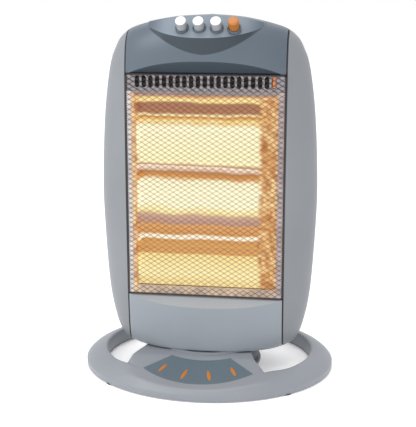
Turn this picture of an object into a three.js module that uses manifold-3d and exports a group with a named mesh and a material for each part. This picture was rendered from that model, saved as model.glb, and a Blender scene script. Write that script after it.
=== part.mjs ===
// Free-standing halogen heater with an oscillating body on an oval ring base.
// Millimetres, +Z up, front towards -Y. The origin is on the floor, on the axis the body turns on.

import * as THREE from 'three';
import { mergeVertices } from 'three/addons/utils/BufferGeometryUtils.js';
import Module from 'manifold-3d';

const wasm = await Module();
wasm.setup();

// ---- Driving dimensions: the whole heater ----
const GAP = 0.3;                  // left between pieces that touch
const WALL = 2.5;                 // moulded shells
const SHEET = 1;                  // pressed metal

// ---- Base ----
const RING_RX = 170;              // outer half axes of the oval ring
const RING_RY = 146;
const RING_WIDTH = 29;            // measured along x
const RING_RIM = 8.5;             // height of the outer rim
const RING_CREST = 23.5;          // height of the inner edge
const COVER_LOW = 1.8;            // underside of the bottom cover
const COVER_THICK = 2.7;
const FOOT_R = 10;
const FOOT_AT = [112, 98];        // the feet stand this far from both middle planes
const HUB_R = 68;
const HUB_FLOOR = 8.3;            // the hub cup stands at this height
const HUB_TOP = 31;
const BRIDGE_SLOPE = 0.25;        // rise of the front bridge per millimetre of depth
const BRIDGE_HIGH = 32.4;
const BRIDGE_HIGH_Y = -72;        // the slope ends here, under the body
const BRIDGE_FRONT_X = [-97, 86]; // left and right side where the bridge leaves the ring
const BRIDGE_BACK_X = [-76, 58];  // and beside the hub
const BRIDGE_SIDE_Y = [-90, -20]; // front and back end of those slanting sides
const BRIDGE_NOSE = [[62, 19], [34, 9]];  // half width, and distance in from the ring's front
const BRIDGE_SHOULDER = 42;       // where the nose starts, in from the ring's front
const REAR_BRIDGE_W = 42;
const REAR_BRIDGE_TOP = 20;
const PANEL_THICK = 1.6;
const MARK_THICK = 1;
const GLAND_HEIGHT = 12;
const TIP_Y = 96;                 // the tip-over switch, on the rear bridge
const TIP_R = 3;
const TIP_BODY = [9, 7];          // half width and half depth of its housing

// ---- Body ----
const BODY_HALF_WIDTH = 144.3;
const BODY_HALF_DEPTH = 56;
const BODY_BOTTOM = 34.3;
const BODY_TOP = 473;
const SECTION_POWER = 2.4;        // fullness of the plan section
const CROWN_DROP = 48;            // the crown rounds over this height
const CROWN_INSET = 26;           // and draws in by this much at front and back
const SHELL_WIDTH = 40.3;         // each side shell, across the widest place
const SEAM_X = BODY_HALF_WIDTH - SHELL_WIDTH;  // seams between the middle band and the side shells
const HOOD_HEIGHT = 73;           // top cover, from the grille to the crown
const GRILLE_LOW = 105;
const GRILLE_HIGH = BODY_TOP - HOOD_HEIGHT;
const GRILLE_SET = 15;            // the grille lies this far behind the body's foremost line
const GRILLE_FACE = GRILLE_SET - BODY_HALF_DEPTH;
const EDGE_Y = GRILLE_FACE + 1;   // the brow's and the ledge's planes leave the grille here
const EDGE_DEEP = BODY_HALF_DEPTH + EDGE_Y;
const BROW_RISE = 14;             // height of the arched brow over the grille
const LEDGE_DROP = 11;            // depth of the lens-shaped ledge under it

// ---- Visor and buttons ----
const VISOR_MARGIN = 30;          // from the seam to the visor's tip
const VISOR_HALF = SEAM_X - VISOR_MARGIN;
const VISOR_RIDGE_Z = BODY_TOP - 27;
const VISOR_RIDGE_Y = -BODY_HALF_DEPTH - 6.5;
const VISOR_FOOT_Z = BODY_TOP - 48;
const VISOR_TIP_Z = BODY_TOP - 14.5;
const DECK_TOP_Y = 18 - BODY_HALF_DEPTH;
const DECK_ANGLE = THREE.MathUtils.degToRad(48);
const DECK_CENTRE = [4.5 - BODY_HALF_DEPTH, BODY_TOP - 14.9];  // y, z of the button row's line
const BUTTON_PITCH = 21.9;
const BUTTON_SHIFT = 6;           // the row's middle lies this far right of the body's
const BUTTON_R = 6.8;
const BUTTON_OUT = 15;
const BUTTON_TRAVEL = 4.5;
const BUTTON_CLEAR = 0.35;
const COLLAR_R = 8.6;             // a collar round each button guides it
const COLLAR_PROUD = 1.6;
const COLLAR_DEEP = 6;
const SWITCH_SIZE = 12;
const SWITCH_LONG = 16;

// ---- Reflector and lamps ----
const WINDOW_X = [11 - SEAM_X, SEAM_X - 10];
const WINDOW_Z = [GRILLE_LOW + 13, GRILLE_HIGH - 29];
const TROUGHS = 3;
const TROUGH_BACK = 8;
const CUSP_Y = -34;
const FLARE = 28;                 // the right end wall slants in by this much at the back
const FLARE_X = WINDOW_X[1] - FLARE;
const SLOT_COUNT = 21;
const SLOT_MARGIN = 11.6;         // from the seam to the row's first and last half pitch
const SLOT_PITCH = 2 * (SEAM_X - SLOT_MARGIN) / SLOT_COUNT;
const SLOT_WIDTH = 5.8;
const SLOT_Z = [GRILLE_HIGH - 18, GRILLE_HIGH - 2.5];
const SHIELD_Y = 14;
const SHIELD_HALF = SEAM_X + 8;
const LAMP_R = 5.5;
const LAMP_BORE = 4.5;
const LAMP_Y = -10;
const LAMP_HALF = SEAM_X - 1;
const CUTOUT_R = 9;
const CUTOUT_HIGH = 5;
const FILAMENT_R = 1.2;
const CAP_LONG = 12.7;
const CAP_SIZE = [16, 18];

// ---- Grille net ----
const WIRE = 1.4;
const BORDER = 3.4;
const BORDER_DEEP = 2.4;
const NET_COLUMNS = 5;
const NET_ROWS = 9;
const STRAND = 1.3;

// ---- Turning drive ----
const PIVOT_R = 12;
const PIVOT_BORE = 9;
const RUN = 0.5;                  // running clearance round the pivot
const MOTOR_Y = 20;
const MOTOR_R = 17;
const SHAFT_R = 2.5;
const SHAFT_DEEP = 9;             // length of the shaft inside the motor
const COLLAR = 4;                 // width of the collars round the pivot
const CRANK_R = 11.47;
const PIN_R = 2;
const SLOT_HALF = 4.5;            // half width of the radial slot that the pin runs in
const DRIVE_Z = [22, 25];
const CRANK_Z = [26, 29.5];

// ---- Back cover ----
const VENT_ROWS = 8;
const VENT_PITCH = 24;
const VENT_LOW = 78;
const VENT_X = [14, SEAM_X - 26]; // inner and outer end of each slot
const VENT_FALL = 8;              // the slots slant down by this much each way through the wall
const VENT_HIGH = 5;
const HANDLE_HALF = 44;
const HANDLE_Z = [GRILLE_HIGH - 60, GRILLE_HIGH - 20];
const HANDLE_DEEP = 22;
const SCREW_X = SEAM_X - 24;
const SCREW_Z = [GRILLE_LOW + 35, GRILLE_HIGH - 75];
const SCREW_R = 2;
const BOSS_R = 5;

const FAR = 400;                  // past every face of the heater

// ---- Materials ----
const finish = (color, roughness = 0.45, metalness = 0) =>
  new THREE.MeshStandardMaterial({ color, roughness, metalness });
const looks = {
  shell: () => finish(0xa6a9ae, 0.42),
  ring: () => finish(0xa4a7ad, 0.42),
  cover: () => finish(0x6f7c87, 0.42),
  panel: () => finish(0x959ca3, 0.42),
  insert: () => finish(0x64707b, 0.4),
  orange: () => finish(0xd98a3c, 0.35),
  white: () => finish(0xf4f5f7, 0.3),
  dark: () => finish(0x5c6066, 0.55),
  rubber: () => finish(0x1c1c1e, 0.9),
  steel: () => finish(0xb9b9bb, 0.25, 1),
  wire: () => finish(0x3c3836, 0.35, 0.9),
  ceramic: () => finish(0xe6e2d8, 0.7),
  quartz: () => finish(0xe9dfcf, 0.08),
  filament: () => finish(0xffcf7a, 0.5, 0.4),
  black: () => finish(0x2a2a2d, 0.55),
};

// ---- Solids ----
// A closed mesh becomes a solid once its shared vertices are merged and its slivers are gone.
function solid(geometry) {
  const plain = geometry.clone();
  plain.deleteAttribute('normal');
  plain.deleteAttribute('uv');
  const merged = mergeVertices(plain, 1e-4);
  const index = merged.index.array;
  const kept = [];
  for (let i = 0; i < index.length; i += 3) {
    const [a, b, c] = [index[i], index[i + 1], index[i + 2]];
    if (a !== b && b !== c && c !== a) kept.push(a, b, c);
  }
  return new wasm.Manifold(new wasm.Mesh({
    numProp: 3,
    vertProperties: new Float32Array(merged.attributes.position.array),
    triVerts: new Uint32Array(kept),
  }));
}

const join = (...solids) => solids.reduce((all, one) => all.add(one));
const cut = (body, ...tools) => tools.reduce((rest, tool) => rest.subtract(tool), body);

function geometryOf(shape) {
  const mesh = shape.getMesh();
  const geometry = new THREE.BufferGeometry();
  geometry.setAttribute('position', new THREE.BufferAttribute(new Float32Array(mesh.vertProperties), 3));
  geometry.setIndex(new THREE.BufferAttribute(new Uint32Array(mesh.triVerts), 1));
  geometry.computeVertexNormals();
  return geometry;
}

const group = new THREE.Group();
function part(name, shape, material) {
  const mesh = new THREE.Mesh(geometryOf(shape), material);
  mesh.name = name;
  group.add(mesh);
  return mesh;
}

const box = (x, y, z) => solid(new THREE.BoxGeometry(x[1] - x[0], y[1] - y[0], z[1] - z[0])
  .translate((x[0] + x[1]) / 2, (y[0] + y[1]) / 2, (z[0] + z[1]) / 2));

const outlineOf = (points) => new THREE.Shape(points.map(([u, v]) => new THREE.Vector2(u, v)));

function extruded(shape, depth, curveSegments = 6) {
  return new THREE.ExtrudeGeometry(shape, { depth, bevelEnabled: false, curveSegments, steps: 1 });
}

// A plan outline (x, y) raised from z[0] to z[1].
const prism = (shape, z, segments) => solid(extruded(shape, z[1] - z[0], segments).translate(0, 0, z[0]));

// A side outline (y, z) drawn out along x.
function slab(shape, x, segments) {
  const axes = new THREE.Matrix4().makeBasis(
    new THREE.Vector3(0, 1, 0), new THREE.Vector3(0, 0, 1), new THREE.Vector3(1, 0, 0));
  return solid(extruded(shape, x[1] - x[0], segments).applyMatrix4(axes).translate(x[0], 0, 0));
}

// A front outline (x, z) drawn out along y.
function curtain(shape, y, segments) {
  const axes = new THREE.Matrix4().makeBasis(
    new THREE.Vector3(1, 0, 0), new THREE.Vector3(0, 0, 1), new THREE.Vector3(0, -1, 0));
  return solid(extruded(shape, y[1] - y[0], segments).applyMatrix4(axes).translate(0, y[1], 0));
}

// A profile of (radius, height) points turned about Z.
const turned = (points, segments = 40) => new THREE.LatheGeometry(
  points.map(([r, z]) => new THREE.Vector2(r, z)), segments).rotateX(Math.PI / 2);

const disc = (radius, z, segments = 32) => solid(turned(
  [[0, z[0]], [radius, z[0]], [radius, z[1]], [0, z[1]]], segments));

const ringOf = (inner, outer, z, segments = 40) => solid(turned(
  [[inner, z[0]], [outer, z[0]], [outer, z[1]], [inner, z[1]], [inner, z[0]]], segments));

const discAt = (x, y, radius, z, segments = 20) => solid(turned(
  [[0, z[0]], [radius, z[0]], [radius, z[1]], [0, z[1]]], segments).translate(x, y, 0));

// A round bar along x, centred on (y, z).
const barX = (radius, x, y, z, segments = 16) => solid(turned(
  [[0, x[0]], [radius, x[0]], [radius, x[1]], [0, x[1]]], segments).rotateY(Math.PI / 2).translate(0, y, z));

// Sections of equal point counts skinned into one closed body.
function loft(sections, closeTop = true) {
  const count = sections[0].length;
  const index = [];
  for (let i = 0; i + 1 < sections.length; i++) {
    for (let j = 0; j < count; j++) {
      const k = (j + 1) % count;
      const [a, b, c, d] = [i * count + j, i * count + k, (i + 1) * count + k, (i + 1) * count + j];
      index.push(a, b, c, a, c, d);
    }
  }
  const last = (sections.length - 1) * count;
  for (let j = 1; j + 1 < count; j++) {
    index.push(0, j + 1, j);
    if (closeTop) index.push(last, last + j, last + j + 1);
  }
  const geometry = new THREE.BufferGeometry();
  geometry.setAttribute('position', new THREE.Float32BufferAttribute(sections.flat(2), 3));
  geometry.setIndex(index);
  return solid(geometry);
}

// ---- Body envelope ----
// The front silhouette: insets from the widest half width, at heights taken from the bottom,
// the middle and the top of the body. The crown's two points keep their distance from the middle.
const CROWN_X = [94, 47.5];
const silhouette = new THREE.SplineCurve([
  [36.3, BODY_BOTTOM], [24.3, BODY_BOTTOM + 7.2], [14.7, BODY_BOTTOM + 30.7], [6.3, BODY_BOTTOM + 76.7],
  [1.3, BODY_BOTTOM + 156], [0, (BODY_BOTTOM + BODY_TOP) / 2], [4.3, BODY_TOP - 132],
  [12.3, BODY_TOP - 69], [21.4, BODY_TOP - 41], [31.4, BODY_TOP - 25.5],
  [BODY_HALF_WIDTH - CROWN_X[0], BODY_TOP - 14], [BODY_HALF_WIDTH - CROWN_X[1], BODY_TOP - 3],
  [BODY_HALF_WIDTH, BODY_TOP],
].map(([inset, z]) => new THREE.Vector2(BODY_HALF_WIDTH - inset, z)));
const silhouettePoints = silhouette.getPoints(240);

function widthAt(z) {
  const i = silhouettePoints.findIndex((p) => p.y >= z);
  if (i < 1) return i === 0 ? silhouettePoints[0].x : 0;
  const [a, b] = [silhouettePoints[i - 1], silhouettePoints[i]];
  return a.x + (b.x - a.x) * (z - a.y) / (b.y - a.y);
}

function crownAt(x) {
  const p = silhouettePoints.findLast((q) => q.x >= Math.abs(x));
  return p ? p.y : BODY_TOP;
}

function depthAt(z) {
  const u = THREE.MathUtils.clamp((z - BODY_TOP + CROWN_DROP) / CROWN_DROP, 0, 1);
  return BODY_HALF_DEPTH - CROWN_INSET * (1 - Math.sqrt(1 - u * u));
}

const frontAt = (x, z) => -depthAt(z)
  * Math.sqrt(Math.max(0, 1 - Math.abs(x / widthAt(z)) ** SECTION_POWER));

const SECTION_POINTS = 24;
const SECTION_RINGS = 16;
function section(halfWidth, halfDepth, z) {
  return Array.from({ length: SECTION_POINTS }, (_, j) => {
    const angle = 2 * Math.PI * j / SECTION_POINTS;
    const [c, s] = [Math.cos(angle), Math.sin(angle)];
    const x = Math.abs(c) < 1e-6 ? 0 : halfWidth * Math.sign(c) * Math.abs(c) ** (2 / SECTION_POWER);
    return [x, halfDepth * s, z];
  });
}

// The body's outside, or the same form drawn in by a wall.
function envelope(inset) {
  const rings = [];
  for (let i = 0; i <= SECTION_RINGS; i++) {
    const t = i / SECTION_RINGS;
    const p = silhouette.getPoint(t);
    const tangent = silhouette.getTangent(t);
    const x = i === SECTION_RINGS ? 0 : Math.max(0, p.x - inset * tangent.y);
    rings.push(section(x, depthAt(p.y) - inset, p.y + inset * tangent.x));
  }
  return loft(rings, false);
}

// ---- Visor: the hull, the ridge and the button deck over it ----
const VISOR_STATIONS = 14;
function visor(inset) {
  const half = VISOR_HALF - 2.5 * inset;
  const sections = [];
  for (let i = 0; i <= VISOR_STATIONS; i++) {
    const x = -half + 2 * half * i / VISOR_STATIONS;
    const s = Math.abs(x) / VISOR_HALF;
    const footZ = VISOR_FOOT_Z + (VISOR_TIP_Z - VISOR_FOOT_Z) * s ** 1.75;
    const ridgeZ = VISOR_RIDGE_Z + (VISOR_TIP_Z - VISOR_RIDGE_Z) * s ** 2.4;
    const tipY = frontAt(VISOR_HALF, VISOR_TIP_Z) - 1;
    const ridgeY = tipY + (VISOR_RIDGE_Y - tipY) * (1 - s ** 2.2);
    const crown = crownAt(x);
    const deckY = DECK_TOP_Y + 9 * s * s;
    const footY = frontAt(x, footZ);
    const outline = [
      [footY + 1.05 * inset, footZ],
      [ridgeY + 1.13 * inset, ridgeZ - 0.25 * inset],
      [deckY + 0.44 * inset, crown - inset],
      [deckY + 10, crown - inset],
      [deckY + 10, crown - 30 + 20 * s],
      [footY + 14 - 6 * s, footZ + 2],
    ];
    sections.push(outline.map(([y, z]) => [x, y, z]));
  }
  return loft(sections.reverse());
}

// ---- Body pieces ----
const outer = envelope(0);
const inner = envelope(WALL);
const band = (half) => box([-half, half], [-FAR, FAR], [-FAR, FAR * 2]);
const middle = band(SEAM_X - GAP / 2);
const above = (z) => box([-FAR, FAR], [-FAR, FAR], [z, FAR * 2]);
const below = (z) => box([-FAR, FAR], [-FAR, FAR], [-FAR, z]);
const ahead = (y) => box([-FAR, FAR], [-FAR, y], [-FAR, FAR * 2]);
const floorZ = [BODY_BOTTOM - 1, BODY_BOTTOM + WALL];
const floorPlan = (inset) => outlineOf(
  section(widthAt(BODY_BOTTOM) - inset, BODY_HALF_DEPTH - inset, 0).map(([x, y]) => [x, y]));

const LIP_Y = 24;                 // the shells' inner lips run from the front to here
function sideShell(side) {
  const keep = box([SEAM_X + GAP / 2, FAR], [-FAR, FAR], [-FAR, FAR * 2]);
  const lip = box([SEAM_X + GAP / 2, SEAM_X + GAP / 2 + WALL], [-BODY_HALF_DEPTH, -LIP_Y],
    [BODY_BOTTOM, BODY_TOP]);
  const shell = join(cut(outer, inner), lip.intersect(outer)).intersect(keep);
  return side > 0 ? shell : shell.mirror([1, 0, 0]);
}

// The wedge in front of a slanted plane through the grille's edge.
function browWedge(lift) {
  const fall = BROW_RISE / EDGE_DEEP * BODY_HALF_DEPTH;
  const [back, front] = [EDGE_Y + BODY_HALF_DEPTH, EDGE_Y - BODY_HALF_DEPTH];
  return slab(outlineOf([[back, GRILLE_HIGH + lift - fall], [back, 0], [front, 0],
    [front, GRILLE_HIGH + lift + fall]]), [-FAR, FAR]);
}

function ledgeWedge(drop) {
  const rise = LEDGE_DROP / EDGE_DEEP * BODY_HALF_DEPTH;
  const [back, front] = [EDGE_Y + BODY_HALF_DEPTH, EDGE_Y - BODY_HALF_DEPTH];
  return slab(outlineOf([[back, GRILLE_LOW - drop + rise], [front, GRILLE_LOW - drop - rise],
    [front, 2 * FAR], [back, 2 * FAR]]), [-FAR, FAR]);
}

// Something built along +Z, set on the deck at x with +Z along the deck's normal.
function onDeck(geometry, x) {
  return solid(geometry.rotateX(DECK_ANGLE).translate(x, DECK_CENTRE[0], DECK_CENTRE[1]));
}

const BUTTON_X = [-1.5, -0.5, 0.5, 1.5].map((n) => BUTTON_SHIFT + n * BUTTON_PITCH);
const SWITCH_TOP = -WALL - 2 - BUTTON_TRAVEL - 1;
const bracketTop = SWITCH_TOP - SWITCH_LONG - GAP;
const BRACKET_POST = 1.5 * BUTTON_PITCH + COLLAR_R + 3;  // the posts' distance from the row's middle

function topCover() {
  const bores = BUTTON_X.map((x) => onDeck(turned(
    [[0, -8], [BUTTON_R + BUTTON_CLEAR, -8], [BUTTON_R + BUTTON_CLEAR, 8], [0, 8]], 16), x));
  const collars = BUTTON_X.map((x) => onDeck(turned(
    [[0, -COLLAR_DEEP], [COLLAR_R, -COLLAR_DEEP], [COLLAR_R, COLLAR_PROUD], [0, COLLAR_PROUD]], 16), x));
  const posts = [-1, 1].map((side) => onDeck(turned(
    [[0, bracketTop + GAP], [4, bracketTop + GAP], [4, -3.4], [0, -3.4]], 10),
  BUTTON_SHIFT + side * BRACKET_POST));
  const skin = cut(join(outer, visor(0)), browWedge(0));
  const hollow = cut(join(inner, visor(WALL)), browWedge(WALL / Math.cos(Math.atan(BROW_RISE / EDGE_DEEP))));
  const shell = cut(skin, hollow).intersect(above(GRILLE_HIGH + GAP / 2)).intersect(middle);
  return cut(join(shell, ...posts, ...collars), ...bores);
}

function lowerFrontPanel() {
  const skin = cut(outer, ledgeWedge(0));
  const hollow = cut(inner, ledgeWedge(WALL / Math.cos(Math.atan(LEDGE_DROP / EDGE_DEEP))));
  const returns = [-1, 1].map((side) => box(
    [side * SEAM_X - 3 * WALL / 2, side * SEAM_X + 3 * WALL / 2], [-FAR, -22], [-FAR, FAR]).intersect(skin));
  return cut(join(cut(skin, hollow), ...returns), prism(floorPlan(WALL), floorZ))
    .intersect(below(GRILLE_LOW - GAP / 2)).intersect(ahead(-GAP / 2)).intersect(middle);
}

function backCover() {
  const shell = cut(outer, inner, prism(floorPlan(WALL), floorZ), ahead(GAP / 2))
    .intersect(below(GRILLE_HIGH - GAP / 2)).intersect(middle);
  const bosses = [];
  const drills = [];
  for (const x of [-SCREW_X, SCREW_X]) {
    for (const z of SCREW_Z) {
      bosses.push(discAt(x, -z, BOSS_R, [SHIELD_Y + SHEET + GAP, BODY_HALF_DEPTH], 14));
      drills.push(discAt(x, -z, SCREW_R + GAP, [SHIELD_Y, FAR], 12));
      drills.push(discAt(x, -z, 2 * SCREW_R + GAP, [-frontAt(x, z) - 2.4, FAR], 12));
    }
  }
  const stand = (piece) => piece.rotate([-90, 0, 0]);
  const pocket = box([-HANDLE_HALF - WALL, HANDLE_HALF + WALL],
    [BODY_HALF_DEPTH - HANDLE_DEEP - WALL, BODY_HALF_DEPTH + 5],
    [HANDLE_Z[0] - WALL, HANDLE_Z[1] + WALL]).intersect(outer);
  const recess = box([-HANDLE_HALF, HANDLE_HALF], [BODY_HALF_DEPTH - HANDLE_DEEP, FAR], HANDLE_Z);
  const vents = [];
  const ventY = [BODY_HALF_DEPTH - 26, BODY_HALF_DEPTH + 14];
  for (let row = 0; row < VENT_ROWS; row++) {
    const z = VENT_LOW + row * VENT_PITCH;
    for (const side of [-1, 1]) {
      const x = side > 0 ? VENT_X : [-VENT_X[1], -VENT_X[0]];
      const [low, high] = [z - VENT_FALL, z + VENT_FALL];
      vents.push(slab(outlineOf([[ventY[0], low], [ventY[1], high], [ventY[1], high + VENT_HIGH],
        [ventY[0], low + VENT_HIGH]]), x));
    }
  }
  const withBosses = join(shell, pocket, ...bosses.map(stand).map((b) => b.intersect(outer)));
  return cut(withBosses, recess, ...drills.map(stand), ...vents);
}

function bottomPlate() {
  const plate = prism(floorPlan(WALL + GAP), [BODY_BOTTOM, BODY_BOTTOM + WALL])
    .intersect(middle);
  const boss = disc(PIVOT_R + COLLAR, [BODY_BOTTOM, BODY_BOTTOM + WALL + 3]);
  return cut(join(plate, boss), disc(PIVOT_R + RUN, [0, FAR]),
    discAt(0, MOTOR_Y, SHAFT_R + 1, [0, FAR], 16));
}

// ---- Grille: a wire border round a net of diamond openings ----
function grille() {
  const x = [-SEAM_X + GAP, SEAM_X - GAP];
  const z = [GRILLE_LOW + GAP, GRILLE_HIGH - GAP];
  const [left, right, low, high] = [x[0] + BORDER, x[1] - BORDER, z[0] + BORDER, z[1] - BORDER];
  const frame = cut(box(x, [GRILLE_FACE, GRILLE_FACE + BORDER_DEEP], z),
    box([left, right], [-FAR, FAR], [low, high]));
  const a = (right - left) / NET_COLUMNS / 2;
  const b = (high - low) / NET_ROWS / 2;
  const open = 1 - STRAND / 2 * Math.hypot(a, b) / (a * b);
  const net = box([left - 1, right + 1], [GRILLE_FACE + 0.4, GRILLE_FACE + 0.4 + WIRE], [low - 1, high + 1]);
  const openings = [];
  for (let i = 0; i <= 2 * NET_COLUMNS; i++) {
    for (let j = 0; j <= 2 * NET_ROWS; j++) {
      const corner = (i % (2 * NET_COLUMNS) === 0) && (j % (2 * NET_ROWS) === 0);
      if (i % 2 !== j % 2 || corner) continue;
      const [cx, cz] = [left + i * a, low + j * b];
      const tips = [[cx - a * open, cz], [cx, cz - b * open], [cx + a * open, cz], [cx, cz + b * open]]
        .filter(([u, v]) => u > left - 0.1 && u < right + 0.1 && v > low - 0.1 && v < high + 0.1);
      openings.push(curtain(outlineOf(tips), [GRILLE_FACE - 2, GRILLE_FACE + 4]));
    }
  }
  return join(frame, cut(net, join(...openings)));
}

// ---- Reflector ----
function troughLine(shift) {
  const pitch = (WINDOW_Z[1] - WINDOW_Z[0]) / TROUGHS;
  const steps = 8;
  const line = [];
  for (let n = 0; n < TROUGHS; n++) {
    for (let i = n ? 1 : 0; i <= steps; i++) {
      const u = 2 * i / steps - 1;
      const y = TROUGH_BACK - (TROUGH_BACK - CUSP_Y) * u * u;
      line.push([y + shift, WINDOW_Z[0] + pitch * (n + i / steps)]);
    }
  }
  return line;
}

const FLANGE_Y = GRILLE_FACE + BORDER_DEEP + GAP;
function flareAt(y) {
  return WINDOW_X[1] + (FLARE_X - WINDOW_X[1]) * (y - FLANGE_Y) / (TROUGH_BACK - FLANGE_Y);
}

function reflector() {
  const face = [FLANGE_Y, FLANGE_Y + SHEET];
  const plate = box([-SEAM_X + 2, SEAM_X - 1], face, [GRILLE_LOW + GAP, GRILLE_HIGH - GAP]);
  const window = box(WINDOW_X, [-FAR, FAR], WINDOW_Z);
  const front = troughLine(0);
  const rear = troughLine(1.6 * SHEET).reverse();
  const lips = [[CUSP_Y + 1.6, WINDOW_Z[1] + SHEET], [FLANGE_Y + 0.2, WINDOW_Z[1] + SHEET],
    [FLANGE_Y + 0.2, WINDOW_Z[1] - 0.01]];
  const foot = [[FLANGE_Y + 0.2, WINDOW_Z[0] + 0.01], [FLANGE_Y + 0.2, WINDOW_Z[0] - SHEET],
    [CUSP_Y + 1.6, WINDOW_Z[0] - SHEET]];
  const wave = slab(outlineOf([...front, ...lips.reverse(), ...rear, ...foot.reverse()]),
    [WINDOW_X[0] + GAP, WINDOW_X[1]]);
  const slots = [];
  for (let i = 0; i < SLOT_COUNT; i++) {
    const x = (i - (SLOT_COUNT - 1) / 2) * SLOT_PITCH;
    const r = SLOT_WIDTH / 2;
    const slot = new THREE.Shape();
    slot.absarc(x, SLOT_Z[1] - r, r, 0, Math.PI, false);
    slot.absarc(x, SLOT_Z[0] + r, r, Math.PI, 2 * Math.PI, false);
    slots.push(curtain(slot, [-50, 0], 3));
  }
  const past = prism(outlineOf([[flareAt(FLANGE_Y + SHEET) - GAP, FLANGE_Y + SHEET],
    [flareAt(30) - GAP, 30], [FAR, 30], [FAR, FLANGE_Y + SHEET]]), [0, FAR * 2]);
  return cut(join(cut(plate, window), cut(wave, past)), ...slots);
}

const lampZ = [0, 1, 2].map((n) => WINDOW_Z[0] + (n + 0.5) * (WINDOW_Z[1] - WINDOW_Z[0]) / TROUGHS);

function endWall(side) {
  const z = [WINDOW_Z[0] - 6, WINDOW_Z[1] + 6];
  const front = FLANGE_Y + SHEET + GAP;
  const back = SHIELD_Y - GAP;
  const foot = 7;
  const plan = side < 0
    ? [[WINDOW_X[0], front], [WINDOW_X[0], back], [WINDOW_X[0] - foot, back],
      [WINDOW_X[0] - foot, back - SHEET], [WINDOW_X[0] - SHEET, back - SHEET], [WINDOW_X[0] - SHEET, front]]
    : [[flareAt(front), front], [flareAt(front) + 1.2 * SHEET, front],
      [flareAt(back - SHEET) + 1.2 * SHEET, back - SHEET], [flareAt(back) + foot + 3, back - SHEET],
      [flareAt(back) + foot + 3, back], [flareAt(back), back]];
  const wall = prism(outlineOf(plan), z);
  return cut(wall, ...lampZ.map((h) => barX(LAMP_R + 0.6, [-FAR, FAR], LAMP_Y, h)));
}

function heatShield() {
  const lip = 6;
  const z = [WINDOW_Z[0] - 6, WINDOW_Z[1] + 2];
  const [a, b] = [SHIELD_Y, SHIELD_Y + SHEET];
  const profile = [[a, z[0]], [b + lip, z[0]], [b + lip, z[0] + SHEET], [b, z[0] + SHEET],
    [b, z[1] - SHEET], [b + lip, z[1] - SHEET], [b + lip, z[1]], [a, z[1]]];
  return slab(outlineOf(profile), [-SHIELD_HALF, SHIELD_HALF]);
}

// ---- Lamps ----
function lampTube(z) {
  const ring = turned([[LAMP_BORE, -LAMP_HALF], [LAMP_R, -LAMP_HALF], [LAMP_R, LAMP_HALF],
    [LAMP_BORE, LAMP_HALF], [LAMP_BORE, -LAMP_HALF]], 14);
  return solid(ring.rotateY(Math.PI / 2).translate(0, LAMP_Y, z));
}

function ceramicCap(side, z) {
  const inside = LAMP_HALF - 6;
  const x = [inside, inside + CAP_LONG];
  const block = box(x, [LAMP_Y - CAP_SIZE[0] / 2, LAMP_Y + CAP_SIZE[0] / 2],
    [z - CAP_SIZE[1] / 2, z + CAP_SIZE[1] / 2]);
  const cap = cut(block, barX(LAMP_R + GAP, [0, LAMP_HALF + GAP], LAMP_Y, z, 14));
  return side > 0 ? cap : cap.mirror([1, 0, 0]);
}

function lampBracket(side) {
  const x = LAMP_HALF - 6 + CAP_LONG + GAP;
  const strip = box([x, x + 1.2], [LAMP_Y - 7, SHIELD_Y - GAP], [lampZ[0] - 14, lampZ[2] + 14]);
  return side > 0 ? strip : strip.mirror([1, 0, 0]);
}

// ---- Buttons and switches ----
function button(x) {
  const foot = -WALL - 2;
  const profile = [[0, SWITCH_TOP - 4], [1.8, SWITCH_TOP - 4], [1.8, foot], [BUTTON_R, foot],
    [BUTTON_R, BUTTON_OUT - 2.2], [BUTTON_R - 0.6, BUTTON_OUT - 0.8], [BUTTON_R - 2, BUTTON_OUT],
    [0, BUTTON_OUT + 0.3]];
  return onDeck(turned(profile, 16), x);
}

function pushSwitch(x) {
  const half = SWITCH_SIZE / 2;
  const block = new THREE.BoxGeometry(SWITCH_SIZE, SWITCH_SIZE, SWITCH_LONG)
    .translate(0, 0, SWITCH_TOP - SWITCH_LONG / 2);
  const socket = turned([[0, SWITCH_TOP - 11], [1.8 + BUTTON_CLEAR, SWITCH_TOP - 11],
    [1.8 + BUTTON_CLEAR, half], [0, half]], 12);
  return cut(onDeck(block, x), onDeck(socket, x));
}

function switchBracket() {
  const long = 2 * (BRACKET_POST + 6);
  const plate = new THREE.BoxGeometry(long, SWITCH_SIZE + 2, 1.5).translate(0, 0, bracketTop - 0.75);
  return onDeck(plate, BUTTON_SHIFT);
}

// ---- Base pieces ----
const oval = RING_RY / RING_RX;
const bridgeTop = (y) => BRIDGE_HIGH + BRIDGE_SLOPE * (y - BRIDGE_HIGH_Y);

function ringSolid(inset, low) {
  const inside = RING_RX - RING_WIDTH + inset;
  const outside = RING_RX - inset;
  const slope = new THREE.QuadraticBezierCurve(
    new THREE.Vector2(outside, RING_RIM), new THREE.Vector2(outside - 7, RING_CREST - 5 - inset),
    new THREE.Vector2(inside + 3, RING_CREST - inset)).getPoints(6).map((p) => [p.x, p.y]);
  const profile = [[inside, low], [outside, low], ...slope, [inside, RING_CREST - 1.2 - inset], [inside, low]];
  return solid(turned(profile, 40).scale(1, oval, 1));
}

function frontBridgePlan(inset) {
  const shoulder = BRIDGE_SHOULDER - RING_RY;
  const [frontL, frontR] = [BRIDGE_FRONT_X[0] + inset, BRIDGE_FRONT_X[1] - inset];
  const [backL, backR] = [BRIDGE_BACK_X[0] + inset, BRIDGE_BACK_X[1] - inset];
  const [sideY, backY] = [BRIDGE_SIDE_Y[0], BRIDGE_SIDE_Y[1] - inset];
  const nose = BRIDGE_NOSE.map(([x, y]) => [x, y - RING_RY + inset]);
  return outlineOf([[frontL, shoulder], [frontL, sideY], [backL, backY], [backR, backY], [frontR, sideY],
    [frontR, shoulder], ...nose, ...nose.map(([x, y]) => [-x, y]).reverse()]);
}

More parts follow.
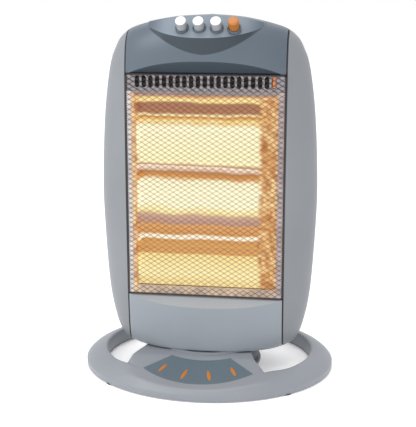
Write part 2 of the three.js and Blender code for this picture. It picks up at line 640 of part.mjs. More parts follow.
function frontBridge(inset, low) {
  const drop = inset ? inset + PANEL_THICK + GAP : 0;
  const side = slab(outlineOf([[-RING_RY, low], [0, low], [0, BRIDGE_HIGH - drop],
    [BRIDGE_HIGH_Y, BRIDGE_HIGH - drop], [-RING_RY, bridgeTop(-RING_RY) - drop]]), [-FAR, FAR]);
  return prism(frontBridgePlan(inset), [low, HUB_R]).intersect(side);
}

const rearBridge = (inset, low) => box([-REAR_BRIDGE_W + inset, REAR_BRIDGE_W - inset],
  [40, RING_RY - 10], [low, REAR_BRIDGE_TOP - inset]);

// Everything above the slope of the front bridge, over the insert panel's width.
function overBridge(drop) {
  const side = slab(outlineOf([[-RING_RY, bridgeTop(-RING_RY) - drop], [BRIDGE_HIGH_Y, BRIDGE_HIGH - drop],
    [BRIDGE_HIGH_Y, RING_RY], [-RING_RY, RING_RY]]), [-FAR, FAR]);
  return prism(frontBridgePlan(0), [0, RING_RY]).intersect(side);
}

// The fan outline of the insert panel: two arcs joined by straight sides.
function fanPlan(inset) {
  const back = new THREE.EllipseCurve(0, 13, 93.7 + inset, 93.7 + inset, 0, 2 * Math.PI);
  const front = new THREE.EllipseCurve(0, -24, 106.6 - inset, 106.6 - inset, 0, 2 * Math.PI);
  const arc = (curve, half, steps) => Array.from({ length: steps + 1 }, (_, i) => {
    const turn = -Math.PI / 2 + half * (2 * i / steps - 1);
    return [curve.aX + curve.xRadius * Math.cos(turn), curve.aY + curve.yRadius * Math.sin(turn)];
  });
  return outlineOf([...arc(front, 0.742 - inset / 100, 14), ...arc(back, 0.429 - inset / 93, 8).reverse()]);
}

// Accent marks: pointed ovals from their outer to their inner end.
const MARKS = [[[-50, -109], [-42, -92]], [[-18.5, -121.5], [-13.5, -101.5]],
  [[18.5, -121.5], [13.5, -101.5]], [[50, -109], [42, -92]]];
const MARK_HALF = 2.6;
function markPlan([p, q], inset) {
  const along = new THREE.Vector2(q[0] - p[0], q[1] - p[1]);
  const unit = along.clone().normalize();
  const side = new THREE.Vector2(-unit.y, unit.x).multiplyScalar(2 * (MARK_HALF - inset));
  const [start, end] = [new THREE.Vector2(...p).addScaledVector(unit, inset),
    new THREE.Vector2(...q).addScaledVector(unit, -inset)];
  const mid = start.clone().add(end).multiplyScalar(0.5);
  const shape = new THREE.Shape();
  shape.moveTo(start.x, start.y);
  shape.quadraticCurveTo(mid.x - side.x, mid.y - side.y, end.x, end.y);
  shape.quadraticCurveTo(mid.x + side.x, mid.y + side.y, start.x, start.y);
  return shape;
}

// A plan outline held between two heights over the bridge's slope.
function onSlope(shape, low, high, segments = 6) {
  const [front, back] = [-RING_RY, BRIDGE_HIGH_Y + HUB_TOP];
  const side = slab(outlineOf([[front, bridgeTop(front) + low], [back, bridgeTop(back) + low],
    [back, bridgeTop(back) + high], [front, bridgeTop(front) + high]]), [-FAR, FAR]);
  return prism(shape, [0, RING_RY], segments).intersect(side);
}

const COVER_TOP = COVER_LOW + COVER_THICK;
const SHELL_LOW = COVER_TOP + GAP;
const GLAND_Y = RING_RY - 1.5;

function baseTopShell() {
  const pad = box([-10, 10], [RING_RY - 22, GLAND_Y - 1], [SHELL_LOW, GLAND_HEIGHT + 7.5]);
  const skin = cut(join(ringSolid(0, SHELL_LOW), frontBridge(0, SHELL_LOW), rearBridge(0, SHELL_LOW),
    disc(HUB_R + 4, [SHELL_LOW, HUB_FLOOR - GAP]), pad), overBridge(0));
  const hollow = cut(join(ringSolid(WALL, 0), frontBridge(WALL, 0), rearBridge(WALL, 0)),
    overBridge(WALL + PANEL_THICK + GAP), ringOf(HUB_R - 8, HUB_R + GAP + WALL, [0, 60]));
  const gland = solid(turned([[0, -30], [4.3, -30], [4.3, 30], [0, 30]], 16)
    .rotateX(-Math.PI / 2).translate(0, GLAND_Y, GLAND_HEIGHT));
  const glandFlat = box([-8, 8], [GLAND_Y - 1, FAR], [0, 60]);
  const cupRoom = disc(HUB_R + GAP, [HUB_FLOOR - GAP, 90], 40);
  const pocket = onSlope(fanPlan(0), -PANEL_THICK - GAP, 5);
  return cut(skin, hollow, gland, glandFlat, cupRoom, pocket);
}

function baseBottomCover() {
  const z = [COVER_LOW, COVER_TOP];
  const ring = solid(turned([[RING_RX - RING_WIDTH + 0.5, z[0]], [RING_RX - 1.5, z[0]],
    [RING_RX - 1.5, z[1]], [RING_RX - RING_WIDTH + 0.5, z[1]], [RING_RX - RING_WIDTH + 0.5, z[0]]], 40)
    .scale(1, oval, 1));
  const cover = join(ring, prism(frontBridgePlan(1), z), disc(HUB_R + 3, z),
    box([-REAR_BRIDGE_W + 1, REAR_BRIDGE_W - 1], [40, RING_RY - 12], z));
  return cut(cover, discAt(0, TIP_Y, TIP_R + 0.4, [-1, 10]));
}

function hubCup() {
  const z = [HUB_FLOOR, HUB_TOP];
  return solid(turned([[0, z[0]], [HUB_R, z[0]], [HUB_R, z[1]], [HUB_R - WALL, z[1]],
    [HUB_R - WALL, z[0] + WALL], [0, z[0] + WALL]], 40));
}

const CUP_FLOOR = HUB_FLOOR + WALL;
function drivePlate() {
  const seat = CUP_FLOOR + GAP;
  const outerR = 42;
  const cap = solid(turned([[PIVOT_R + RUN, DRIVE_Z[0]], [outerR - WALL, DRIVE_Z[0]], [outerR - WALL, seat],
    [outerR, seat], [outerR, DRIVE_Z[1]], [PIVOT_R + RUN, DRIVE_Z[1]], [PIVOT_R + RUN, DRIVE_Z[0]]], 32));
  const near = Math.sqrt(MOTOR_Y ** 2 - CRANK_R ** 2) - PIN_R - 0.6;
  const far = MOTOR_Y + CRANK_R + PIN_R + 0.6;
  const slot = box([-SLOT_HALF, SLOT_HALF], [near, far], [DRIVE_Z[0] - 1, DRIVE_Z[1] + 1]);
  return cut(cap, slot);
}

const CLIP_Z = BODY_BOTTOM + WALL + 3 + GAP;
function pivotTube() {
  const seat = CUP_FLOOR + GAP;
  const top = CLIP_Z + 6;
  return solid(turned([[PIVOT_BORE, seat], [PIVOT_R + 8, seat], [PIVOT_R + 8, seat + 3], [PIVOT_R, seat + 3],
    [PIVOT_R, top], [PIVOT_BORE, top], [PIVOT_BORE, seat]], 28));
}

function crankArm() {
  const arm = join(discAt(0, MOTOR_Y, 5, CRANK_Z, 16), discAt(0, MOTOR_Y + CRANK_R, 3.6, CRANK_Z, 14),
    box([-3.2, 3.2], [MOTOR_Y, MOTOR_Y + CRANK_R], CRANK_Z));
  const pin = discAt(0, MOTOR_Y + CRANK_R, PIN_R, [DRIVE_Z[0] - 1, CRANK_Z[0] + 1], 14);
  const shaft = discAt(0, MOTOR_Y, SHAFT_R, [CRANK_Z[0] + 1, BODY_BOTTOM + WALL + SHAFT_DEEP - 1], 14);
  return join(arm, pin, shaft);
}

function motor() {
  const z = [BODY_BOTTOM + WALL + GAP, BODY_BOTTOM + WALL + 20];
  const can = cut(discAt(0, MOTOR_Y + MOTOR_R - 4, MOTOR_R, z, 24), disc(PIVOT_R + COLLAR + GAP, [0, FAR]));
  const bore = discAt(0, MOTOR_Y, SHAFT_R + GAP, [z[0] - 1, z[0] + SHAFT_DEEP], 14);
  return cut(can, bore);
}

// ---- Assembly ----
part('base_top_shell', baseTopShell(), looks.ring());
part('base_bottom_cover', baseBottomCover(), looks.panel());
const marks = MARKS.map((mark, i) => {
  part(`accent_mark_${i + 1}`, onSlope(markPlan(mark, 0.3), 0.4 - MARK_THICK, 0.4), looks.orange());
  return onSlope(markPlan(mark, 0), 0.4 - MARK_THICK - GAP, 5);
});
part('base_insert_panel', cut(onSlope(fanPlan(GAP), -PANEL_THICK, 0), ...marks), looks.insert());
part('hub_cup', hubCup(), looks.dark());
part('slotted_drive_plate', drivePlate(), looks.black());
part('pivot_tube', pivotTube(), looks.steel());
[[-1, -1], [1, -1], [-1, 1], [1, 1]].forEach(([x, y], i) => {
  const foot = discAt(x * FOOT_AT[0], y * FOOT_AT[1], FOOT_R, [0, COVER_LOW - GAP], 20);
  part(`rubber_foot_${i + 1}`, foot, looks.rubber());
});

const tipZ = [COVER_TOP + GAP, REAR_BRIDGE_TOP - WALL - GAP];
part('tip_switch_body', cut(box([-TIP_BODY[0], TIP_BODY[0]], [TIP_Y - TIP_BODY[1], TIP_Y + TIP_BODY[1]], tipZ),
  discAt(0, TIP_Y, TIP_R + 0.35, [-1, tipZ[1] - 1.5], 16)), looks.black());
part('tip_switch_plunger', discAt(0, TIP_Y, TIP_R, [GAP, tipZ[1] - 2.5], 16), looks.white());
part('cord_inlet_gland', solid(turned([[3, -9], [4, -9], [4, -0.7], [6, -0.7], [6, 1.5], [3, 1.5], [3, -9]], 16)
  .rotateX(-Math.PI / 2).translate(0, GLAND_Y, GLAND_HEIGHT)), looks.black());

part('side_shell_left', sideShell(-1), looks.shell());
part('side_shell_right', sideShell(1), looks.shell());
part('top_cover', topCover(), looks.cover());
part('lower_front_panel', lowerFrontPanel(), looks.panel());
part('back_cover', backCover(), looks.shell());
part('bottom_plate', bottomPlate(), looks.dark());
part('turntable_washer', ringOf(HUB_R - 7, HUB_R - 0.5, [HUB_TOP + GAP, BODY_BOTTOM - GAP]), looks.black());
part('pivot_clip', ringOf(PIVOT_R + 0.35, PIVOT_R + COLLAR - 0.4, [CLIP_Z, CLIP_Z + 2], 28), looks.steel());
part('oscillation_motor', motor(), looks.steel());
part('crank_arm', crankArm(), looks.steel());

part('grille', grille(), looks.wire());
part('reflector', reflector(), looks.steel());
part('reflector_end_left', endWall(-1), looks.steel());
part('reflector_end_right', endWall(1), looks.steel());
part('heat_shield', heatShield(), looks.steel());
lampZ.forEach((z, i) => {
  part(`lamp_tube_${i + 1}`, lampTube(z), looks.quartz());
  part(`filament_${i + 1}`, barX(FILAMENT_R, [-LAMP_HALF, LAMP_HALF], LAMP_Y, z, 8), looks.filament());
  part(`ceramic_cap_left_${i + 1}`, ceramicCap(-1, z), looks.ceramic());
  part(`ceramic_cap_right_${i + 1}`, ceramicCap(1, z), looks.ceramic());
});
part('lamp_bracket_left', lampBracket(-1), looks.steel());
part('lamp_bracket_right', lampBracket(1), looks.steel());
part('thermal_cutout', solid(turned([[0, 0], [CUTOUT_R, 0], [CUTOUT_R, CUTOUT_HIGH], [0, CUTOUT_HIGH]], 20)
  .rotateX(-Math.PI / 2)
  .translate(0, SHIELD_Y + SHEET + GAP, lampZ[2])), looks.black());

BUTTON_X.forEach((x, i) => {
  const last = i === BUTTON_X.length - 1;
  part(last ? 'oscillation_button' : `power_button_${i + 1}`, button(x), last ? looks.orange() : looks.white());
  part(`push_switch_${i + 1}`, pushSwitch(x), looks.black());
});
part('switch_bracket', switchBracket(), looks.steel());
[[-1, 0], [1, 0], [-1, 1], [1, 1]].forEach(([side, row], i) => {
  const [x, z] = [side * SCREW_X, SCREW_Z[row]];
  const seat = -frontAt(x, z) - 2.4;
  const screw = turned([[0, SHIELD_Y + 6], [SCREW_R, SHIELD_Y + 6], [SCREW_R, seat + GAP],
    [2 * SCREW_R, seat + GAP], [1.6 * SCREW_R, seat + 2.2], [0, seat + 2.4]], 12);
  part(`back_screw_${i + 1}`, solid(screw.rotateX(-Math.PI / 2).translate(x, 0, z)), looks.steel());
});

export default group;
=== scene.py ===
"""Looks of a free-standing halogen heater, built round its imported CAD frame.

Lengths in the shape functions are millimetres and are turned into metres when a mesh is made.
"""
import math

import bmesh
import bpy
import numpy as np
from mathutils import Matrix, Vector


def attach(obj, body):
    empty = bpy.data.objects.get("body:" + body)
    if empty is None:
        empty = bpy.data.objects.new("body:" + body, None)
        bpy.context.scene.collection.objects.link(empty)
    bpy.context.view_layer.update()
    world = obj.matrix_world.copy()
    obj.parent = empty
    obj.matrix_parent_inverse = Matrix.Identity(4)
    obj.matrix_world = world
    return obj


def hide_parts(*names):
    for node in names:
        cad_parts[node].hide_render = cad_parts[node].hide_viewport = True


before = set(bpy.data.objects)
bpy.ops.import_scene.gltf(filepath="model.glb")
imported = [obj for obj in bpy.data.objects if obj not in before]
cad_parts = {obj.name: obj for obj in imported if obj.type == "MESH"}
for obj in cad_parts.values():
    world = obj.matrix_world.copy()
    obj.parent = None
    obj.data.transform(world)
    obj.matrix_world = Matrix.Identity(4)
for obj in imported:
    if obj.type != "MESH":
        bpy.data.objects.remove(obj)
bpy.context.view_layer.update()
MM = 0.001

# ---- Sizes shared with the CAD model, in millimetres ----
GAP = 0.3
SKIN_THICK, SKIN_BEVEL = 1.8, 0.25
BODY_HALF_WIDTH = 144.3
BODY_HALF_DEPTH = 56.0
BODY_BOTTOM = 34.3
BODY_TOP = 473.0
SECTION_POWER = 2.4
CROWN_DROP = 48.0
CROWN_INSET = 26.0
SEAM_X = 104.0
GRILLE_LOW, GRILLE_HIGH, GRILLE_FACE = 105.0, 400.0, -41.0
BROW_RISE, LEDGE_DROP = 16.5, 11.0
EDGE_Y, EDGE_DEEP = -40.0, 16.0
SHELF_Y = -37.4
VISOR_HALF = 74.0
VISOR_RIDGE_Z, VISOR_RIDGE_Y = 446.0, -62.5
VISOR_FOOT_Z, VISOR_TIP_Z = 425.0, 458.5
DECK_TOP_Y = -38.0
DECK_ANGLE = math.radians(48)
DECK_CENTRE = (-51.5, 458.1)
BUTTON_PITCH, BUTTON_SHIFT, BUTTON_R, BUTTON_OUT = 21.9, 6.0, 6.8, 15.0
COLLAR_R = 8.6
RING_RX, RING_RY, RING_WIDTH = 170.0, 146.0, 29.0
RING_RIM, RING_CREST, SHELL_LOW = 8.5, 23.5, 4.8
BRIDGE_SLOPE, BRIDGE_HIGH, BRIDGE_HIGH_Y = 0.25, 32.4, -72.0
BRIDGE_FRONT_X, BRIDGE_BACK_X, BRIDGE_SIDE_Y = (-97.0, 86.0), (-76.0, 58.0), (-90.0, -20.0)
REAR_HALF, REAR_TOP, LIP_LOW = 42.0, 20.0, 0.8
HUB_R, PAD_TOP = 68.0, 19.5
SEAM_WIDE = 0.9
WINDOW_X, WINDOW_Z = (-93.0, 94.0), (118.0, 371.0)
TROUGHS, TROUGH_BACK, CUSP_Y = 3, 8.0, -34.0
FLANGE_Y = -38.3
SLOT_COUNT, SLOT_PITCH, SLOT_WIDTH = 21, 8.8, 5.8
SLOT_Z = (382.0, 397.5)


# ---- Materials ----
def new_material(name):
    material = bpy.data.materials.new(name)
    material.use_nodes = True
    nodes, links = material.node_tree.nodes, material.node_tree.links
    shader = nodes["Principled BSDF"]
    coordinates = nodes.new("ShaderNodeTexCoord")
    return material, nodes, links, shader, coordinates


def noise(nodes, links, coordinates, scale, detail=3.0, stretch=(1, 1, 1)):
    mapping = nodes.new("ShaderNodeMapping")
    mapping.inputs["Scale"].default_value = stretch
    links.new(coordinates.outputs["Object"], mapping.inputs["Vector"])
    texture = nodes.new("ShaderNodeTexNoise")
    texture.inputs["Scale"].default_value = scale
    texture.inputs["Detail"].default_value = detail
    links.new(mapping.outputs["Vector"], texture.inputs["Vector"])
    return texture.outputs["Fac"]


def ramp(nodes, links, source, stops):
    node = nodes.new("ShaderNodeValToRGB")
    elements = node.color_ramp.elements
    while len(elements) < len(stops):
        elements.new(0.5)
    for element, (position, colour) in zip(elements, stops):
        element.position = position
        element.color = (*colour, 1.0)
    links.new(source, node.inputs["Fac"])
    return node.outputs["Color"]


def levels(nodes, links, source, low, high):
    node = nodes.new("ShaderNodeMapRange")
    node.inputs["To Min"].default_value = low
    node.inputs["To Max"].default_value = high
    links.new(source, node.inputs["Value"])
    return node.outputs["Result"]


def add_bump(nodes, links, shader, height, strength, distance):
    bump = nodes.new("ShaderNodeBump")
    bump.inputs["Strength"].default_value = strength
    bump.inputs["Distance"].default_value = distance
    links.new(height, bump.inputs["Height"])
    links.new(bump.outputs["Normal"], shader.inputs["Normal"])


def srgb(code):
    """Linear colour of an sRGB hex code."""
    values = [int(code[i:i + 2], 16) / 255 for i in (0, 2, 4)]
    return tuple(v / 12.92 if v <= 0.04045 else ((v + 0.055) / 1.055) ** 2.4 for v in values)


def shade(colour, factor):
    return tuple(min(1.0, c * factor) for c in colour)


def math_node(nodes, links, operation, first, second, third=None):
    node = nodes.new("ShaderNodeMath")
    node.operation = operation
    for socket, value in zip(node.inputs, (first, second, third)):
        if isinstance(value, (int, float)):
            socket.default_value = value
        elif value is not None:
            links.new(value, socket)
    return node.outputs[0]


def window_share(nodes, links, source, start, end):
    """1 past the end, 0 before the start, in metres along an axis."""
    node = nodes.new("ShaderNodeMapRange")
    node.interpolation_type = "SMOOTHSTEP"
    node.inputs["From Min"].default_value = start * MM
    node.inputs["From Max"].default_value = end * MM
    links.new(source, node.inputs["Value"])
    return node.outputs["Result"]


def mix_colour(nodes, links, share, first, second):
    node = nodes.new("ShaderNodeMix")
    node.data_type = "RGBA"
    for socket, value in (("Factor_Float", share), ("A_Color", first), ("B_Color", second)):
        target = next(i for i in node.inputs if i.identifier == socket)
        if isinstance(value, tuple):
            target.default_value = (*value, 1)
        else:
            links.new(value, target)
    return next(o for o in node.outputs if o.identifier == "Result_Color")


def plastic(name, colour, roughness=0.42, mottle=0.05, grain=0.06, coat=0.0, fade=None):
    """Moulded plastic: faint flow clouding, a fine spark-eroded grain and uneven gloss.

    fade is another colour and the distances from the middle plane over which it takes over.
    """
    material, nodes, links, shader, at = new_material(name)
    cloud = noise(nodes, links, at, 9.0, 4.0)
    tone = ramp(nodes, links, cloud, [(0.3, shade(colour, 1 - mottle)), (0.7, shade(colour, 1 + mottle))])
    if fade:
        split = nodes.new("ShaderNodeSeparateXYZ")
        links.new(at.outputs["Object"], split.inputs["Vector"])
        away = math_node(nodes, links, "ABSOLUTE", split.outputs["X"], None)
        tone = mix_colour(nodes, links, window_share(nodes, links, away, fade[1], fade[2]), tone, fade[0])
    links.new(tone, shader.inputs["Base Color"])
    fine = noise(nodes, links, at, 1400.0, 2.0)
    links.new(levels(nodes, links, noise(nodes, links, at, 60.0), roughness - 0.05, roughness + 0.05),
              shader.inputs["Roughness"])
    add_bump(nodes, links, shader, fine, grain, 0.0002)
    shader.inputs["Coat Weight"].default_value = coat
    shader.inputs["Coat Roughness"].default_value = 0.15
    return material


def metal(name, colour, roughness=0.3, stretch=(1, 1, 30)):
    """Rolled metal with fine drawing lines."""
    material, nodes, links, shader, at = new_material(name)
    lines = noise(nodes, links, at, 90.0, 4.0, stretch)
    links.new(ramp(nodes, links, lines, [(0.3, shade(colour, 0.85)), (0.7, shade(colour, 1.1))]),
              shader.inputs["Base Color"])
    links.new(levels(nodes, links, lines, roughness - 0.08, roughness + 0.08), shader.inputs["Roughness"])
    shader.inputs["Metallic"].default_value = 1.0
    add_bump(nodes, links, shader, lines, 0.05, 0.0002)
    return material


# Colours of the painted glow, the lamps' light and reflections painted up the reflector: height in
# millimetres and sRGB colour.
PAINTED_GLOW_BANDS = [
    (108, "b78f86"), (114, "b08872"), (118, "ecd08e"), (128, "f8ecb4"), (150, "f3dc98"), (156, "d39a58"),
    (170, "cf9556"), (173, "fbf4e0"), (178, "f6ead0"), (181, "ca9058"), (200, "cc945c"), (205, "b58e86"),
    (211, "c9a191"), (214, "f4e4a4"), (222, "fcf9d8"), (252, "fcf8d4"), (258, "d59044"), (266, "a8632f"),
    (269, "d6b0a0"), (276, "f3e4d2"), (277.5, "a86c44"), (283, "faf3c6"), (328, "fdf9d6"),
    (335, "eec878"), (339, "cc8038"), (342, "f4e6b4"), (345, "a26a50"), (360, "96594a"), (363, "f2dc94"),
    (368, "e9cf90"), (372, "c98a62")]


def glow(name, strength=1.0, tint=(1, 1, 1), edges=None, base=(0.10, 0.08, 0.06)):
    """Polished metal with the lamps' light and reflections painted on as emission: bands of painted light
    that follow the troughs.

    The painted bright bands end at the slanted right wall in mottled amber. With edges, the painted light
    fades to nothing outside the window, as it does on the wires of the net.
    """
    material, nodes, links, shader, at = new_material(name)
    split = nodes.new("ShaderNodeSeparateXYZ")
    links.new(at.outputs["Object"], split.inputs["Vector"])
    x, y, z = (split.outputs[axis] for axis in "XYZ")
    wave = levels(nodes, links, noise(nodes, links, at, 16.0, 2.0, (1, 0, 0.6)), -0.0055, 0.0055)
    streaks = levels(nodes, links, noise(nodes, links, at, 45.0, 3.0, (0.5, 0, 2.5)), -0.003, 0.003)
    wave = math_node(nodes, links, "ADD", wave, streaks)
    height = math_node(nodes, links, "ADD", z, math_node(nodes, links, "MULTIPLY_ADD", x, 0.008, wave))
    low, high = PAINTED_GLOW_BANDS[0][0], PAINTED_GLOW_BANDS[-1][0]
    share = nodes.new("ShaderNodeMapRange")
    share.inputs["From Min"].default_value = low * MM
    share.inputs["From Max"].default_value = high * MM
    links.new(height, share.inputs["Value"])

    def tinted(code):
        return tuple(a * b for a, b in zip(srgb(code), tint))

    stops = [((level - low) / (high - low), tinted(code)) for level, code in PAINTED_GLOW_BANDS]
    bands = ramp(nodes, links, share.outputs["Result"], stops)
    spots = noise(nodes, links, at, 55.0, 4.0, (1, 1, 1.6))
    amber = ramp(nodes, links, spots,
                 [(0.34, tinted("a9683c")), (0.5, tinted("d09a62")), (0.62, tinted("e8c690"))])
    ragged = levels(nodes, links, noise(nodes, links, at, 90.0, 3.0, (1, 1, 1)), -0.004, 0.004)
    reach = math_node(nodes, links, "ADD", math_node(nodes, links, "MULTIPLY_ADD", y, 0.15, x), ragged)
    bright = mix_colour(nodes, links, window_share(nodes, links, reach, 64, 71), bands, amber)
    front = math_node(nodes, links, "MULTIPLY_ADD", y, 0.3, x)
    bright = mix_colour(nodes, links, window_share(nodes, links, front, -97, -103), bright, amber)
    if edges:
        inside = math_node(nodes, links, "MULTIPLY", window_share(nodes, links, x, -98, -93),
                           window_share(nodes, links, x, 93, 88))
        tall = math_node(nodes, links, "MULTIPLY", window_share(nodes, links, z, 112, 117),
                         window_share(nodes, links, z, 373, 369))
        inside = math_node(nodes, links, "MULTIPLY", inside, tall)
        bright = mix_colour(nodes, links, inside, edges, bright)
    links.new(bright, shader.inputs["Emission Color"])
    shader.inputs["Emission Strength"].default_value = strength
    shader.inputs["Base Color"].default_value = (*base, 1)
    shader.inputs["Metallic"].default_value = 0.9
    links.new(levels(nodes, links, noise(nodes, links, at, 40.0), 0.3, 0.5), shader.inputs["Roughness"])
    return material


def lit(name, low_colour, high_colour, strength=1.0, scale=30.0, stretch=(1, 1, 1)):
    """A surface with the lamps' light painted on as emission, mottled between two colours."""
    material, nodes, links, shader, at = new_material(name)
    spots = noise(nodes, links, at, scale, 3.0, stretch)
    links.new(ramp(nodes, links, spots, [(0.35, low_colour), (0.65, high_colour)]),
              shader.inputs["Emission Color"])
    shader.inputs["Emission Strength"].default_value = strength
    shader.inputs["Base Color"].default_value = (0.2, 0.16, 0.12, 1)
    shader.inputs["Roughness"].default_value = 0.35
    return material


SHELL = plastic("shell_plastic", srgb("7c8085"), 0.42)
SHELL_BACK = plastic("shell_plastic_back", srgb("7e8287"), 0.48)
RING = plastic("ring_plastic", srgb("83878e"), 0.42)
RING_DARK = plastic("ring_underside_plastic", srgb("77797f"), 0.5)
PANEL = plastic("panel_plastic", srgb("878e95"), 0.4)
# The upward-facing ledge of the lower panel is the panel's plastic lightened with painted light from
# above.
LEDGE_PAINTED_LIGHT = plastic("panel_plastic_ledge_painted_light", srgb("9da1a5"), 0.4)
COVER = plastic("cover_plastic", srgb("515c67"), 0.38)
# The downward-facing brow over the grille is the cover's plastic darkened with painted shade.
COVER_PAINTED_SHADE = plastic("cover_plastic_painted_shade", srgb("333e48"), 0.45)
# The hull under the visor ridge is the cover's plastic darkened with painted shade.
HULL_PAINTED_SHADE = plastic("cover_plastic_hull_painted_shade", srgb("2a353e"), 0.5)
# A painted shadow for the gaps at the seams of the side shells.
SEAM_PAINTED_SHADOW = plastic("seam_painted_shadow", srgb("3a3c41"), 0.7)
# The upward-facing deck is the cover's plastic lightened with painted light, fading back to the cover's
# colour towards its ends.
COVER_DECK_PAINTED_LIGHT = plastic("cover_plastic_deck_painted_light", srgb("727d88"), 0.4, fade=(srgb("515c67"), 46, 72))
INSERT = plastic("insert_plastic", srgb("56656f"), 0.38)
ORANGE = plastic("orange_plastic", srgb("b46d22"), 0.34, 0.08, 0.04, 0.2)
# The lower sides of the buttons are their own plastic darkened with painted shade.
ORANGE_PAINTED_SHADE = plastic("orange_plastic_painted_side_shade", srgb("a06420"), 0.4, 0.08, 0.04)
WHITE = plastic("white_plastic", srgb("e8e9ec"), 0.3, 0.02, 0.03, 0.2)
WHITE_PAINTED_SHADE = plastic("white_plastic_painted_side_shade", srgb("94979c"), 0.4, 0.03, 0.03)
DARK = plastic("dark_plastic", srgb("5b5e66"), 0.5)
BLACK = plastic("black_plastic", srgb("2c2c2f"), 0.55)
RUBBER = plastic("rubber", srgb("4c4d52"), 0.85, 0.1, 0.2)
STEEL = metal("plain_steel", srgb("b4b4b6"), 0.35)
CHROME = metal("chrome_strip", srgb("979295"), 0.22, (30, 1, 1))
# The reflector's bands are painted light and painted reflections of the lamps, given as emission.
PAINTED_GLOW = glow("reflector_painted_glow", 1.0)
# The grille's wires carry painted light from the glow behind them, given as emission, and are dark outside
# the window.
WIRE_PAINTED_GLOW = glow("grille_wire", 0.55, (0.50, 0.36, 0.14), srgb("241d1c"), (0.05, 0.045, 0.045))
# The slanted side of the reflector shines with painted light, given as emission.
GLOW_SIDE = lit("reflector_side_painted_glow", srgb("a9683c"), srgb("e8c690"), 0.95, 55.0, (1, 1, 1.6))
CERAMIC = plastic("ceramic", srgb("dcd6c8"), 0.7, 0.04, 0.1)


# ---- Mesh helpers ----
def mesh_object(name, vertices, faces, material, body, replaced=(), sharp=35, shaded=()):
    """A piece from millimetre vertices: smooth but for edges sharper than the angle.

    shaded lists further materials, each with the numbers of the faces that take it.
    """
    mesh = bpy.data.meshes.new(name)
    mesh.from_pydata([tuple(float(c) * MM for c in v) for v in vertices], [],
                     [tuple(map(int, f)) for f in faces])
    mesh.materials.append(material)
    for index, (other, numbers) in enumerate(shaded, 1):
        mesh.materials.append(other)
        for number in numbers:
            mesh.polygons[number].material_index = index
    mesh.validate()
    mesh.update()
    mesh.polygons.foreach_set("use_smooth", [True] * len(mesh.polygons))
    mesh.set_sharp_from_angle(angle=math.radians(sharp))
    piece = bpy.data.objects.new(name, mesh)
    bpy.context.scene.collection.objects.link(piece)
    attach(piece, body)
    if replaced:
        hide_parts(*replaced)
    return piece


def grid_faces(rows, columns, wrap_rows=False, wrap_columns=False, start=0):
    faces = []
    for i in range(rows if wrap_rows else rows - 1):
        for j in range(columns if wrap_columns else columns - 1):
            a, b = i * columns + j, i * columns + (j + 1) % columns
            c = ((i + 1) % rows) * columns + (j + 1) % columns
            d = ((i + 1) % rows) * columns + j
            faces.append((a + start, b + start, c + start, d + start))
    return faces


def thicken(piece, thickness, bevel=0.0, offset=-1.0):
    solidify = piece.modifiers.new("wall", "SOLIDIFY")
    solidify.thickness = thickness * MM
    solidify.offset = offset
    solidify.use_even_offset = True
    if bevel:
        rounding = piece.modifiers.new("edges", "BEVEL")
        rounding.width = bevel * MM
        rounding.segments = 2
        rounding.limit_method = "ANGLE"
        rounding.angle_limit = math.radians(50)
    return piece


def lathe(name, profile, material, body, replaced=(), place=None, shaded=None, segments=64, sharp=35):
    """A profile of (radius, height) turned about Z; place moves each (x, y, z).

    shaded is a second material and the number of profile steps that take it.
    """
    points = []
    for k in range(segments):
        turn = 2 * math.pi * k / segments
        for r, z in profile:
            point = (r * math.cos(turn), r * math.sin(turn), z)
            points.append(place(point) if place else point)
    faces = grid_faces(segments, len(profile), wrap_rows=True, wrap_columns=profile[0] == profile[-1])
    per = len(faces) // segments
    second = [(shaded[0], [i for i in range(len(faces)) if i % per < shaded[1]])] if shaded else []
    piece = mesh_object(name, points, faces, material, body, replaced, sharp, second)
    tidy_mesh(piece, sharp)
    return piece


def tidy_mesh(piece, sharp=35):
    """Merges doubled points and turns the faces outwards."""
    work = bmesh.new()
    work.from_mesh(piece.data)
    bmesh.ops.remove_doubles(work, verts=work.verts, dist=1e-6)
    bmesh.ops.dissolve_degenerate(work, edges=work.edges, dist=1e-7)
    bmesh.ops.recalc_face_normals(work, faces=work.faces)
    work.to_mesh(piece.data)
    work.free()
    piece.data.polygons.foreach_set("use_smooth", [True] * len(piece.data.polygons))
    piece.data.set_sharp_from_angle(angle=math.radians(sharp))


# ---- The body's form, as in the CAD model ----
SILHOUETTE = [
    (36.3, BODY_BOTTOM), (24.3, BODY_BOTTOM + 7.2), (14.7, BODY_BOTTOM + 30.7), (6.3, BODY_BOTTOM + 76.7),
    (1.3, BODY_BOTTOM + 156), (0, (BODY_BOTTOM + BODY_TOP) / 2), (4.3, BODY_TOP - 132),
    (12.3, BODY_TOP - 69), (21.4, BODY_TOP - 41), (31.4, BODY_TOP - 25.5), (50.3, BODY_TOP - 14),
    (96.8, BODY_TOP - 3), (BODY_HALF_WIDTH, BODY_TOP)]


def spline(points, samples):
    """Uniform Catmull-Rom curve through the points."""
    p = np.array(points, float)
    at = np.linspace(0, len(p) - 1, samples)
    i = np.minimum(at.astype(int), len(p) - 2)
    t = (at - i)[:, None]
    p0, p1, p2, p3 = p[np.maximum(i - 1, 0)], p[i], p[i + 1], p[np.minimum(i + 2, len(p) - 1)]
    v0, v1 = (p2 - p0) / 2, (p3 - p1) / 2
    return (2 * p1 - 2 * p2 + v0 + v1) * t ** 3 + (-3 * p1 + 3 * p2 - 2 * v0 - v1) * t ** 2 + v0 * t + p1


outline = spline([(BODY_HALF_WIDTH - inset, z) for inset, z in SILHOUETTE], 1200)
widest = int(np.argmax(outline[:, 0]))


def width_at(z):
    return np.interp(z, outline[:, 1], outline[:, 0])


def crown_at(x):
    return float(np.interp(-abs(x), -outline[widest:, 0], outline[widest:, 1]))


